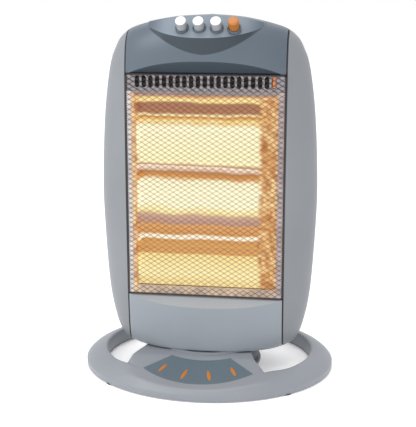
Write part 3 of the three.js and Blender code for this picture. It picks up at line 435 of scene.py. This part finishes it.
def depth_at(z):
    u = np.clip((z - BODY_TOP + CROWN_DROP) / CROWN_DROP, 0, 1)
    return BODY_HALF_DEPTH - CROWN_INSET * (1 - np.sqrt(1 - u * u))


def front_at(x, z):
    inside = np.maximum(0, 1 - np.abs(x / np.maximum(width_at(z), 1e-6)) ** SECTION_POWER)
    return -depth_at(z) * np.sqrt(inside)


def resample(points, count):
    """Points along a polyline, closer together near its ends."""
    p = np.array(points, float)
    length = np.concatenate([[0], np.cumsum(np.linalg.norm(np.diff(p, axis=0), axis=1))])
    u = (1 - np.cos(math.pi * np.linspace(0, 1, count))) / 2
    return np.stack([np.interp(u * length[-1], length, p[:, k]) for k in range(2)], axis=1)


def soften(points, radius):
    """A dense polyline whose corners are rounded by averaging within the radius."""
    p = np.array(points, float)
    length = np.concatenate([[0], np.cumsum(np.linalg.norm(np.diff(p, axis=0), axis=1))])
    step = 0.4
    at = np.linspace(0, length[-1], max(20, int(length[-1] / step)))
    dense = np.stack([np.interp(at, length, p[:, k]) for k in range(2)], axis=1)
    reach = max(1, int(radius / step))
    padded = np.concatenate([2 * dense[:1] - dense[reach:0:-1], dense,
                             2 * dense[-1:] - dense[-2:-2 - reach:-1]])
    kernel = np.hanning(2 * reach + 3)[1:-1]
    kernel /= kernel.sum()
    return np.stack([np.convolve(padded[:, k], kernel, "valid") for k in range(2)], axis=1)


def surface_line(x, z_from, z_to, side=-1, count=60):
    """The envelope's own line in the plane x, between two heights."""
    z = np.linspace(z_from, z_to, count)
    return np.stack([side * -front_at(x, z), z], axis=1)


def edge_height(x, start, rise):
    """Height where the front surface meets a plane that leaves the grille's edge."""
    z = start
    for _ in range(30):
        z = start + rise / EDGE_DEEP * (EDGE_Y - float(front_at(x, z)))
        z = max(z, start) if rise > 0 else min(z, start)
    return z


def cover_line(x):
    """The top cover's section in the plane x: brow, front, visor hull, deck, crown and back."""
    low = GRILLE_HIGH + GAP / 2
    s = abs(x) / VISOR_HALF
    crown = crown_at(x) - 0.02
    brow = edge_height(x, low, BROW_RISE)
    tip_y = float(front_at(VISOR_HALF, VISOR_TIP_Z))
    start = [(SHELF_Y, low), (float(front_at(x, brow)), brow)]
    if s < 1:
        foot = VISOR_FOOT_Z + (VISOR_TIP_Z - VISOR_FOOT_Z) * s ** 1.75
        ridge_z = VISOR_RIDGE_Z + (VISOR_TIP_Z - VISOR_RIDGE_Z) * s ** 2.4
        ridge_y = tip_y + (VISOR_RIDGE_Y - tip_y) * (1 - s ** 2.2)
        deck = (DECK_TOP_Y + 9 * s * s, crown)
    else:
        foot = ridge_z = crown - (crown_at(VISOR_HALF) - VISOR_TIP_Z)
        ridge_y = float(front_at(x, ridge_z))
        deck = None
    front = surface_line(x, brow, foot)
    z = crown - (crown - low) * np.linspace(0, 1, 160) ** 2.2
    back = np.stack([-front_at(x, z), z], axis=1)
    if deck:
        back = np.concatenate([[deck], back[back[:, 0] > deck[0] + 1]])
        hull = [front[-1], (ridge_y, ridge_z)]
        slope = [(ridge_y, ridge_z), deck]
    else:
        hull = [front[-1], front[-1] + (0, 0.01)]
        rest = surface_line(x, ridge_z, crown)
        slope = rest
        back = np.concatenate([[rest[-1]], back])
    return start, front, hull, slope, back


COVER_STEPS = [6, 16, 9, 16, 60]


def cover_column(x):
    parts = cover_line(x)
    joined, marks = [], [0.0]
    for part in parts:
        line = np.array(part, float)
        joined.append(line)
        marks.append(marks[-1] + float(np.sum(np.linalg.norm(np.diff(line, axis=0), axis=1))))
    whole = np.concatenate(joined)
    smooth = soften(whole, 0.8)
    length = np.concatenate([[0], np.cumsum(np.linalg.norm(np.diff(smooth, axis=0), axis=1))])
    scale = length[-1] / marks[-1]
    at = []
    for k, count in enumerate(COVER_STEPS):
        u = (1 - np.cos(math.pi * np.linspace(0, 1, count + 1)[:-1])) / 2
        at.extend((marks[k] + (marks[k + 1] - marks[k]) * u) * scale)
    at.append(length[-1])
    return np.stack([np.interp(at, length, smooth[:, k]) for k in range(2)], axis=1)


def stations(half, count):
    return np.linspace(-half, half, count)


def loft_columns(name, xs, column, material, body, replaced, shades):
    """A skin over sections; shades maps a further material to a test of x and of the step."""
    columns = [column(float(x)) for x in xs]
    vertices = [(x, y, z) for x, line in zip(xs, columns) for y, z in line]
    steps = len(columns[0]) - 1
    faces = [face[::-1] for face in grid_faces(len(xs), steps + 1)]
    shaded = [(other, [n for n in range(len(faces)) if test(float(xs[n // steps]), n % steps)])
              for other, test in shades]
    return mesh_object(name, vertices, faces, material, body, replaced, shaded=shaded)


def body_shells():
    half = SEAM_X - 1.0
    hull, deck, crown = (sum(COVER_STEPS[:n]) for n in (2, 3, 4))

    def on_hull(x, step):
        return abs(x) < VISOR_HALF - 2 and hull <= step < deck

    def on_top(x, step):
        return abs(x) < VISOR_HALF - 2 and deck <= step < crown

    # The brow and hull faces take painted shade, the deck faces painted light.
    cover = loft_columns("top_cover_skin", stations(half, 161), cover_column, COVER, "heater",
                         ["top_cover"],
                         [(COVER_PAINTED_SHADE, lambda x, step: step < COVER_STEPS[0]), (HULL_PAINTED_SHADE, on_hull),
                          (COVER_DECK_PAINTED_LIGHT, on_top)])
    thicken(cover, SKIN_THICK, SKIN_BEVEL)

    def panel_column(x):
        top = GRILLE_LOW - GAP / 2
        ledge = edge_height(x, top, -LEDGE_DROP)
        low = BODY_BOTTOM
        bottom = [(float(front_at(x, low)) + 9, low), *(tuple(p) for p in surface_line(x, low, ledge))]
        shelf = [(float(front_at(x, ledge)), ledge), (SHELF_Y, top)]
        return np.concatenate([resample(soften(bottom, 0.6), 70), resample(shelf, 13)[1:]])

    # The ledge faces along the top take the painted light.
    panel = loft_columns("lower_front_skin", stations(half, 121), panel_column, PANEL, "heater",
                         ["lower_front_panel"], [(LEDGE_PAINTED_LIGHT, lambda x, step: step > 68)])
    thicken(panel, SKIN_THICK, SKIN_BEVEL)
    for side, label in ((-1, "left"), (1, "right")):
        vertices = []
        rows = np.linspace(0, 1, 150)
        z_top = crown_at(SEAM_X + GAP / 2)
        cut = outline[:, 1] <= z_top
        line = outline[cut]
        length = np.concatenate([[0], np.cumsum(np.linalg.norm(np.diff(line, axis=0), axis=1))])
        columns = 41
        for t in rows:
            w = float(np.interp(t * length[-1], length, line[:, 0]))
            z = float(np.interp(t * length[-1], length, line[:, 1]))
            w = max(w, SEAM_X + GAP / 2 + 0.01)
            reach = math.acos(((SEAM_X + GAP / 2) / w) ** (SECTION_POWER / 2))
            seam_strip_turn = math.acos((min(w, SEAM_X + GAP / 2 + SEAM_WIDE) / w) ** (SECTION_POWER / 2))
            seam_strip_turn = max(seam_strip_turn, 0.6 * reach)
            turns = [-reach, *np.linspace(-seam_strip_turn, seam_strip_turn, columns - 2), reach]
            for turn in turns:
                x = w * abs(math.cos(turn)) ** (2 / SECTION_POWER)
                vertices.append((side * x, float(depth_at(z)) * math.sin(turn), z))
        faces = grid_faces(len(rows), columns)
        # The strip of faces along each seam takes the painted shadow; the shell is not recessed there.
        seam_shadow_faces = [n for n in range(len(faces)) if n % (columns - 1) in (0, columns - 2)]
        outward = faces if side > 0 else [face[::-1] for face in faces]
        shell = mesh_object(f"side_shell_{label}_skin", vertices, outward, SHELL, "heater",
                            [f"side_shell_{label}"], shaded=[(SEAM_PAINTED_SHADOW, seam_shadow_faces)])
        thicken(shell, SKIN_THICK, SKIN_BEVEL)


# ---- Base ----
def bridge_top(y):
    return BRIDGE_HIGH + BRIDGE_SLOPE * (y - BRIDGE_HIGH_Y)


def smooth_step(value, low, high):
    t = min(1.0, max(0.0, (value - low) / (high - low)))
    return t * t * (3 - 2 * t)


def ring_profile():
    inside, outside = RING_RX - RING_WIDTH, RING_RX
    p0, p1 = np.array([outside, RING_RIM]), np.array([outside - 7, RING_CREST - 5])
    p2 = np.array([inside + 3, RING_CREST])
    t = np.linspace(0, 1, 22)[:, None]
    slope = (1 - t) ** 2 * p0 + 2 * t * (1 - t) * p1 + t ** 2 * p2
    line = [(inside, SHELL_LOW), (outside - 1.2, SHELL_LOW), (outside - 1.2, LIP_LOW),
            (outside - 0.3, LIP_LOW), (outside, LIP_LOW + 0.5), (outside, RING_RIM - 1)]
    line += [tuple(p) for p in slope]
    line += [(inside + 1.2, RING_CREST - 0.3), (inside + 0.3, RING_CREST - 1), (inside, RING_CREST - 1.8),
             (inside, SHELL_LOW)]
    return line


def led_over(radius, x, y, z):
    """Height of a point on the ring's top, led over into the front bridge's plane."""
    if y > -60 or z < RING_RIM:
        return z
    share = (1 - smooth_step(abs(x), 72, 118)) * (1 - smooth_step(radius, 160, 168))
    return z + (bridge_top(y) - z) * share


def closed_rows(vertices, rows, columns):
    """A body whose rows are closed loops, with a face over each end."""
    faces = grid_faces(rows, columns, wrap_columns=True)
    last = (rows - 1) * columns
    return vertices, faces + [tuple(range(columns - 1, -1, -1)), tuple(range(last, last + columns))]


def front_bridge():
    oval = RING_RY / RING_RX
    inner = RING_RX - RING_WIDTH + 0.4
    rows, across = 60, 81
    vertices = []
    for i in range(rows + 1):
        t = i / rows
        for k in range(-1, across + 1):
            u = (1 - math.cos(math.pi * min(max(k, 0), across - 1) / (across - 1))) / 2
            front_x = BRIDGE_FRONT_X[0] + (BRIDGE_FRONT_X[1] - BRIDGE_FRONT_X[0]) * u
            front_y = -oval * math.sqrt(inner ** 2 - front_x ** 2)
            y = front_y + (BRIDGE_SIDE_Y[1] - front_y) * t
            lean = min(1.0, max(0.0, (y - BRIDGE_SIDE_Y[0]) / (BRIDGE_SIDE_Y[1] - BRIDGE_SIDE_Y[0])))
            left = BRIDGE_FRONT_X[0] + (BRIDGE_BACK_X[0] - BRIDGE_FRONT_X[0]) * lean
            right = float(np.interp(y, (-96, -70, BRIDGE_SIDE_Y[1]),
                                    (BRIDGE_FRONT_X[1], 70, BRIDGE_BACK_X[1])))
            x = left + (right - left) * u
            top = min(bridge_top(y), BRIDGE_HIGH)
            meet = led_over(inner, front_x, front_y, RING_CREST - 0.4) - bridge_top(front_y)
            top += meet * math.exp(-((y - front_y) / 12) ** 2) - 0.03
            near = min(1.0, min(x - left, right - x) / 1.5)
            top -= 1.5 * (1 - math.sqrt(max(0.0, 1 - (1 - near) ** 2)))
            vertices.append((x, y, SHELL_LOW if k in (-1, across) else top))
    return closed_rows(vertices, rows + 1, across + 2)


def rear_bridge():
    across = 41
    vertices = []
    for y in np.concatenate([[40, 40.15, 40.5, 41, 41.5], np.linspace(43, 128, 30)]):
        for k in range(-1, across + 1):
            u = -math.cos(math.pi * min(max(k, 0), across - 1) / (across - 1))
            near = min(1.0, REAR_HALF * (1 - abs(u)) / 1.5, (y - 40) / 1.5)
            top = REAR_TOP - 1.5 * (1 - math.sqrt(max(0.0, 1 - (1 - near) ** 2)))
            vertices.append((REAR_HALF * u, y, SHELL_LOW if k in (-1, across) else top))
    return closed_rows(vertices, 35, across + 2)


def turned_grid(profile, segments=72):
    vertices = [(r * math.cos(2 * math.pi * k / segments), r * math.sin(2 * math.pi * k / segments), z)
                for k in range(segments) for r, z in profile]
    return vertices, grid_faces(segments, len(profile), wrap_rows=True)


def gland_pad():
    """The flat boss at the back of the ring that holds the lead's gland."""
    vertices = []
    for z, inset in ((SHELL_LOW, 0), (PAD_TOP - 1, 0), (PAD_TOP - 0.3, 0.3), (PAD_TOP, 1)):
        x, y0, y1 = 10 - inset, RING_RY - 22, RING_RY - 2.5 - inset
        vertices += [(-x, y0, z), (x, y0, z), (x, y1, z), (-x, y1, z)]
    return closed_rows(vertices, 4, 4)


def base_shell():
    line = ring_profile()
    oval = RING_RY / RING_RX
    segments = 240
    vertices = []
    for k in range(segments):
        turn = 2 * math.pi * k / segments
        for r, z in line:
            x, y = r * math.cos(turn), oval * r * math.sin(turn)
            vertices.append((x, y, led_over(r, x, y, z)))
    faces = grid_faces(segments, len(line), wrap_rows=True)
    hub_disc = turned_grid([(0.001, SHELL_LOW), (HUB_R + 4, SHELL_LOW), (HUB_R + 4, 8.0), (0.001, 8.0)])
    for more, added in (front_bridge(), rear_bridge(), gland_pad(), hub_disc):
        start = len(vertices)
        vertices += more
        faces += [tuple(start + v for v in face) for face in added]
    tidy_mesh(mesh_object("base_shell_skin", vertices, faces, RING, "base", ["base_top_shell"]))


def fan_panel():
    """The dark insert on the front bridge, with faint creases that lead to the marks."""
    rows, columns = 44, 181
    vertices = []
    creases = [((-42, -92), (-36, -76)), ((-13.5, -101.5), (-11, -82)), ((13.5, -101.5), (11, -82)),
               ((42, -92), (36, -76))]
    for i in range(rows + 1):
        t = i / rows
        for j in range(columns):
            s = 2 * j / (columns - 1) - 1
            back_turn, front_turn = -math.pi / 2 + 0.427 * s, -math.pi / 2 + 0.739 * s
            back = (93.4 * math.cos(back_turn), 13 + 93.4 * math.sin(back_turn))
            front = (106.3 * math.cos(front_turn), -24 + 106.3 * math.sin(front_turn))
            x = back[0] + (front[0] - back[0]) * t
            y = back[1] + (front[1] - back[1]) * t
            z = bridge_top(y) + 0.4
            for (ax, ay), (bx, by) in creases:
                length = math.hypot(bx - ax, by - ay)
                along = ((x - ax) * (bx - ax) + (y - ay) * (by - ay)) / length
                away = abs((x - ax) * (by - ay) - (y - ay) * (bx - ax)) / length
                if -2 < along < length + 3 and away < 2:
                    z -= 0.3 * math.exp(-(away / 0.55) ** 2) * smooth_step(along, -2, 3)
            vertices.append((x, y, z))
    faces = grid_faces(rows + 1, columns)
    piece = mesh_object("insert_panel_skin", vertices, faces, INSERT, "base",
                        ["base_insert_panel"])
    tidy_mesh(piece)
    thicken(piece, 1.4, 0.2)
    if piece.data.polygons[0].normal.z < 0:
        piece.data.flip_normals()


MARKS = [((-50, -109), (-42, -92)), ((-18.5, -121.5), (-13.5, -101.5)),
         ((18.5, -121.5), (13.5, -101.5)), ((50, -109), (42, -92))]


def accent_marks():
    for number, (start, end) in enumerate(MARKS, 1):
        p, q = Vector(start), Vector(end)
        along = (q - p).normalized()
        side = Vector((-along.y, along.x))
        length = (q - p).length
        steps, across = 20, 9
        vertices = []
        for i in range(steps + 1):
            t = i / steps
            half = 2.5 * math.sin(math.pi * (0.04 + 0.92 * t)) ** 0.75
            for k in range(across):
                v = 2 * k / (across - 1) - 1
                point = p + along * (length * t) + side * (half * v)
                lift = 0.55 * (1 - v * v) ** 0.5 * math.sin(math.pi * (0.04 + 0.92 * t)) ** 0.5
                vertices.append((point.x, point.y, bridge_top(point.y) + 0.42 + lift))
        piece = mesh_object(f"accent_mark_{number}_skin", vertices, grid_faces(steps + 1, across), ORANGE,
                            "base", [f"accent_mark_{number}"])
        if piece.data.polygons[0].normal.z < 0:
            piece.data.flip_normals()
        thicken(piece, 0.6)


# ---- Grille ----
NET_X, NET_Z = 20, 45


def clipped_line(px, pz, dx, dz, box):
    """The stretch of a line through (px, pz) that lies in the box, or None."""
    low, high = -1e9, 1e9
    for p, d, a, b in ((px, dx, box[0], box[1]), (pz, dz, box[2], box[3])):
        t0, t1 = sorted(((a - p) / d, (b - p) / d))
        low, high = max(low, t0), min(high, t1)
    return (low, high) if high - low > 1 else None


def strands(box, y, radius, pitch_x, pitch_z):
    """Bars of a diamond net that fill a box, as vertices and faces."""
    vertices, faces = [], []
    lean = math.hypot(pitch_x, pitch_z)
    middle_z = (box[2] + box[3]) / 2
    for side in (-1, 1):
        dx, dz = pitch_x / lean, side * pitch_z / lean
        count = int(((box[1] - box[0]) / pitch_x + (box[3] - box[2]) / pitch_z)) + 2
        for k in range(-count, count + 1):
            px = (box[0] + box[1]) / 2 + k * pitch_x
            stretch = clipped_line(px, middle_z, dx, dz, box)
            if not stretch:
                continue
            start = len(vertices)
            for t in stretch:
                x, z = px + dx * t, middle_z + dz * t
                for m in range(6):
                    turn = math.pi * m / 3
                    off = radius * math.cos(turn)
                    deep = y + side * 0.15 + 1.25 * radius * math.sin(turn)
                    vertices.append((x - dz * off, deep, z + dx * off))
            faces += [(start + m, start + (m + 1) % 6, start + 6 + (m + 1) % 6, start + 6 + m)
                      for m in range(6)]
            faces += [tuple(start + m for m in range(5, -1, -1)), tuple(start + 6 + m for m in range(6))]
    return vertices, faces


def grille():
    half = SEAM_X - GAP
    box = (-half + 0.6, half - 0.6, GRILLE_LOW + 0.9, GRILLE_HIGH - 0.9)
    vertices, faces = strands(box, GRILLE_FACE + 0.9, 0.33, 2 * half / NET_X, (box[3] - box[2]) / NET_Z)
    low, high = box[2] - 0.6, box[3] + 0.6
    for x0, x1, z0, z1 in ((-half, -half + 1.8, low, high), (half - 1.8, half, low, high),
                           (-half, half, low, box[2] + 1.2), (-half, half, box[3] - 1.2, high)):
        start = len(vertices)
        for y in (GRILLE_FACE + 0.2, GRILLE_FACE + 2.2):
            vertices += [(x0, y, z0), (x1, y, z0), (x1, y, z1), (x0, y, z1)]
        for f in ((0, 1, 2, 3), (7, 6, 5, 4), (0, 4, 5, 1), (1, 5, 6, 2), (2, 6, 7, 3), (3, 7, 4, 0)):
            faces.append(tuple(start + k for k in f))
    mesh_object("grille_net", vertices, faces, WIRE_PAINTED_GLOW, "heater", ["grille"], 60)


# ---- Reflector ----
def flare_at(y):
    return WINDOW_X[1] + (66.0 - WINDOW_X[1]) * (y - FLANGE_Y) / (TROUGH_BACK - FLANGE_Y)


def reflector():
    pitch = (WINDOW_Z[1] - WINDOW_Z[0]) / TROUGHS
    steps, across = 26, 41
    vertices = []
    rows = 0
    for n in range(TROUGHS):
        for i in range(0 if n == 0 else 1, steps + 1):
            u = 2 * i / steps - 1
            y = TROUGH_BACK - (TROUGH_BACK - CUSP_Y) * u * u
            z = WINDOW_Z[0] + pitch * (n + i / steps)
            for k in range(across):
                right = flare_at(y) - GAP
                vertices.append((WINDOW_X[0] + GAP + (right - WINDOW_X[0] - GAP) * k / (across - 1), y, z))
            rows += 1
    piece = mesh_object("reflector_troughs", vertices, grid_faces(rows, across), PAINTED_GLOW, "heater",
                        ["reflector"], 70)
    thicken(piece, 0.8, 0, 1.0)
    return piece


def flat_plate(name, outline_points, holes, y, thickness, material, body, replaced=()):
    """A flat sheet facing the front, with holes, from outlines of (x, z) points."""
    curve = bpy.data.curves.new(name, "CURVE")
    curve.dimensions = "2D"
    curve.fill_mode = "BOTH"
    for loop in [outline_points, *holes]:
        path = curve.splines.new("POLY")
        path.points.add(len(loop) - 1)
        for point, (x, z) in zip(path.points, loop):
            point.co = (x * MM, z * MM, 0, 1)
        path.use_cyclic_u = True
    curve.extrude = thickness * MM / 2
    source = bpy.data.objects.new(name + "_curve", curve)
    bpy.context.scene.collection.objects.link(source)
    bpy.context.view_layer.update()
    mesh = bpy.data.meshes.new_from_object(source)
    bpy.data.objects.remove(source)
    flat = [(v.co.x / MM, y - v.co.z / MM, v.co.y / MM) for v in mesh.vertices]
    faces = [tuple(p.vertices) for p in mesh.polygons]
    piece = mesh_object(name, flat, faces, material, body, replaced)
    tidy_mesh(piece)
    return piece


def rectangle(x0, x1, z0, z1):
    return [(x0, z0), (x1, z0), (x1, z1), (x0, z1)]


def slot_loop(x, steps=8):
    r = SLOT_WIDTH / 2
    loop = []
    for centre, start in ((SLOT_Z[1] - r, 0.0), (SLOT_Z[0] + r, math.pi)):
        for i in range(steps + 1):
            turn = start + math.pi * i / steps
            loop.append((x + r * math.cos(turn), centre + r * math.sin(turn)))
    return loop


def reflector_front():
    left, right = -SEAM_X + 2, SEAM_X - 1
    xs = [(i - (SLOT_COUNT - 1) / 2) * SLOT_PITCH for i in range(SLOT_COUNT)]
    flat_plate("slotted_strip", rectangle(left, right, WINDOW_Z[1] + 6.4, GRILLE_HIGH - GAP),
               [slot_loop(x) for x in xs], FLANGE_Y + 0.5, 1.0, CHROME, "heater")
    (x0, x1), (z0, z1), low = WINDOW_X, WINDOW_Z, GRILLE_LOW + GAP
    for name, edges, material in (
            ("flange_left", (left, x0 - 4, low, z1 + 6), FLANGE_WHITE),
            ("flange_left_edge", (x0 - 4 + GAP, x0, low, z1 + 6), GLOW_SIDE),
            ("flange_right", (x1, right, low, z1 + 6), FLANGE_DARK),
            ("flange_low", (x0 + GAP, x1 - GAP, low, z0), FLANGE_LOW),
            ("flange_high", (x0 + GAP, x1 - GAP, z1 + 1.5, z1 + 6), FLANGE_HIGH),
            ("flange_high_edge", (x0 + GAP, x1 - GAP, z1, z1 + 1.2), SLOT_LIGHT)):
        flat_plate(name, rectangle(*edges), [], FLANGE_Y + 0.5, 1.0, material, "heater")
    flat_plate("slot_backing", rectangle(left, right, z1 + 8, GRILLE_HIGH - GAP), [],
               FLANGE_Y + 4, 0.6, SLOT_DARK, "heater")
    flat_plate("slot_light", rectangle(xs[-1] - 2, xs[-1] + 2, SLOT_Z[0] + 1, SLOT_Z[1] - 1), [],
               FLANGE_Y + 3, 0.6, SLOT_LIGHT, "heater")


# The flange plates shine by painted light from the lamps, given as emission.
FLANGE_WHITE = lit("flange_white_painted_light", srgb("d9d2d6"), srgb("fbf9fb"), 0.62, 60.0)
FLANGE_DARK = lit("flange_dark_painted_light", srgb("7d7078"), srgb("b9a9ad"), 0.8, 70.0)
FLANGE_LOW = lit("flange_low_painted_glow", srgb("a08a7c"), srgb("d0b89e"), 0.8, 60.0)
FLANGE_HIGH = lit("flange_high_painted_glow", srgb("7f7078"), srgb("a89aa0"), 0.55, 60.0)
SLOT_DARK = plastic("slot_dark", srgb("1d1717"), 0.8)
SLOT_LIGHT = lit("slot_light", srgb("b4521a"), srgb("e5832e"), 0.9, 90.0)


# ---- Controls ----
def on_deck(x):
    c, s = math.cos(DECK_ANGLE), math.sin(DECK_ANGLE)
    return lambda p: (p[0] + x, DECK_CENTRE[0] + p[1] * c - p[2] * s, DECK_CENTRE[1] + p[1] * s + p[2] * c)


def buttons():
    names = ["power_button_1", "power_button_2", "power_button_3", "oscillation_button"]
    top = BUTTON_OUT
    profile = [(0.001, -4.5), (BUTTON_R - 0.1, -4.5), (BUTTON_R - 0.1, top - 2.6)]
    for i in range(9):
        turn = math.pi / 2 * i / 8
        profile.append((BUTTON_R - 2.3 + 2.2 * math.cos(turn), top - 2.2 + 2.2 * math.sin(turn)))
    profile += [(3.0, top + 0.15), (1.5, top + 0.28), (0.001, top + 0.3)]
    for number, name in enumerate(names):
        x = BUTTON_SHIFT + (number - 1.5) * BUTTON_PITCH
        # The cap's bottom and sides take the painted shade.
        material, side = (ORANGE, ORANGE_PAINTED_SHADE) if number == 3 else (WHITE, WHITE_PAINTED_SHADE)
        lathe(name + "_cap", profile, material, f"button_{number + 1}", [name], on_deck(x), (side, 3))
        ring = [(BUTTON_R + 0.35, -5.0), (COLLAR_R, -5.0), (COLLAR_R, 0.8), (COLLAR_R - 0.5, 1.5),
                (BUTTON_R + 0.8, 1.6), (BUTTON_R + 0.35, 1.2), (BUTTON_R + 0.35, -5.0)]
        lathe(f"button_collar_{number + 1}", ring, COVER, "heater", (), on_deck(x))


# ---- Pieces that keep their CAD form ----
CAD_LOOKS = {
    "back_cover": SHELL_BACK, "bottom_plate": DARK, "hub_cup": DARK, "base_bottom_cover": RING_DARK,
    "slotted_drive_plate": BLACK, "pivot_tube": STEEL, "pivot_clip": STEEL, "tip_switch_body": BLACK,
    "tip_switch_plunger": WHITE, "cord_inlet_gland": BLACK, "turntable_washer": RING,
    "oscillation_motor": STEEL, "crank_arm": STEEL, "heat_shield": STEEL, "lamp_bracket_left": STEEL,
    "lamp_bracket_right": STEEL, "thermal_cutout": BLACK, "switch_bracket": STEEL,
    # The reflector's end walls take the same painted glow.
    "reflector_end_left": PAINTED_GLOW, "reflector_end_right": PAINTED_GLOW,
}
for i in range(1, 5):
    CAD_LOOKS[f"rubber_foot_{i}"] = RUBBER
    CAD_LOOKS[f"back_screw_{i}"] = STEEL
    CAD_LOOKS[f"push_switch_{i}"] = BLACK
for i in range(1, 4):
    CAD_LOOKS[f"lamp_tube_{i}"] = PAINTED_GLOW
    CAD_LOOKS[f"filament_{i}"] = PAINTED_GLOW
    CAD_LOOKS[f"ceramic_cap_left_{i}"] = CERAMIC
    CAD_LOOKS[f"ceramic_cap_right_{i}"] = CERAMIC


def smoothing_group(angle):
    """Geometry nodes that merge facets and shade them smooth below an angle."""
    group = bpy.data.node_groups.new("soft_facets", "GeometryNodeTree")
    group.interface.new_socket("Geometry", in_out="INPUT", socket_type="NodeSocketGeometry")
    group.interface.new_socket("Geometry", in_out="OUTPUT", socket_type="NodeSocketGeometry")
    nodes, links = group.nodes, group.links
    source, result = nodes.new("NodeGroupInput"), nodes.new("NodeGroupOutput")
    clean = nodes.new("GeometryNodeRemoveAttribute")
    clean.inputs["Name"].default_value = "custom_normal"
    merge = nodes.new("GeometryNodeMergeByDistance")
    merge.inputs["Distance"].default_value = 1e-6
    faces = nodes.new("GeometryNodeSetShadeSmooth")
    edges = nodes.new("GeometryNodeSetShadeSmooth")
    edges.domain = "EDGE"
    edge_angle = nodes.new("GeometryNodeInputMeshEdgeAngle")
    below = nodes.new("FunctionNodeCompare")
    below.operation = "LESS_THAN"
    below.inputs["B"].default_value = math.radians(angle)
    links.new(source.outputs[0], clean.inputs["Geometry"])
    links.new(clean.outputs["Geometry"], merge.inputs["Geometry"])
    links.new(merge.outputs["Geometry"], faces.inputs["Geometry"])
    links.new(faces.outputs["Geometry"], edges.inputs["Geometry"])
    links.new(edge_angle.outputs["Unsigned Angle"], below.inputs["A"])
    links.new(below.outputs["Result"], edges.inputs["Shade Smooth"])
    links.new(edges.outputs["Geometry"], result.inputs[0])
    return group


def dress_cad():
    group = smoothing_group(28)
    for name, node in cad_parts.items():
        node.data.materials.clear()
        node.data.materials.append(CAD_LOOKS.get(name, DARK))
        node.modifiers.new("soft_facets", "NODES").node_group = group


# ---- Stage ----
def stage():
    bpy.ops.mesh.primitive_plane_add(size=12, location=(0, 0, -0.0005))
    floor = bpy.context.object
    floor.name = "floor"
    material, nodes, links, shader, at = new_material("pale_floor")
    tone = noise(nodes, links, at, 3.0)
    pale = ramp(nodes, links, tone, [(0.3, (0.93, 0.93, 0.935)), (0.7, (0.96, 0.96, 0.965))])
    links.new(pale, shader.inputs["Base Color"])
    shader.inputs["Roughness"].default_value = 0.9
    shader.inputs["Emission Color"].default_value = (1, 1, 1, 1)
    shader.inputs["Emission Strength"].default_value = 0.25
    floor.data.materials.append(material)
    world = bpy.data.worlds.new("studio")
    world.use_nodes = True
    world.node_tree.nodes["Background"].inputs["Color"].default_value = (1.0, 1.0, 1.0, 1)
    world.node_tree.nodes["Background"].inputs["Strength"].default_value = 1.0
    bpy.context.scene.world = world
    for name, place, power in (("key", (-1.5, -1.5, 1.6), 22), ("top", (-0.1, -0.4, 2.0), 10)):
        light = bpy.data.lights.new(name, "AREA")
        light.size = 1.4
        light.energy = power
        lamp = bpy.data.objects.new(name, light)
        lamp.location = place
        lamp.rotation_euler = (Vector((0, 0, 0.25)) - Vector(place)).to_track_quat("-Z", "Y").to_euler()
        bpy.context.scene.collection.objects.link(lamp)


def camera():
    data = bpy.data.cameras.new("camera")
    data.lens = 82.3
    data.shift_x = 0.003
    data.sensor_width = 36
    view = bpy.data.objects.new("camera", data)
    view.location = (0.1858, -1.2695, 0.5066)
    view.rotation_euler = Vector((-0.1435, 0.9636, -0.2254)).to_track_quat("-Z", "Y").to_euler()
    bpy.context.scene.collection.objects.link(view)
    bpy.context.scene.camera = view
    bpy.context.scene.view_settings.view_transform = "Standard"


camera()
stage()
dress_cad()
body_shells()
base_shell()
fan_panel()
accent_marks()
grille()
reflector()
reflector_front()
buttons()
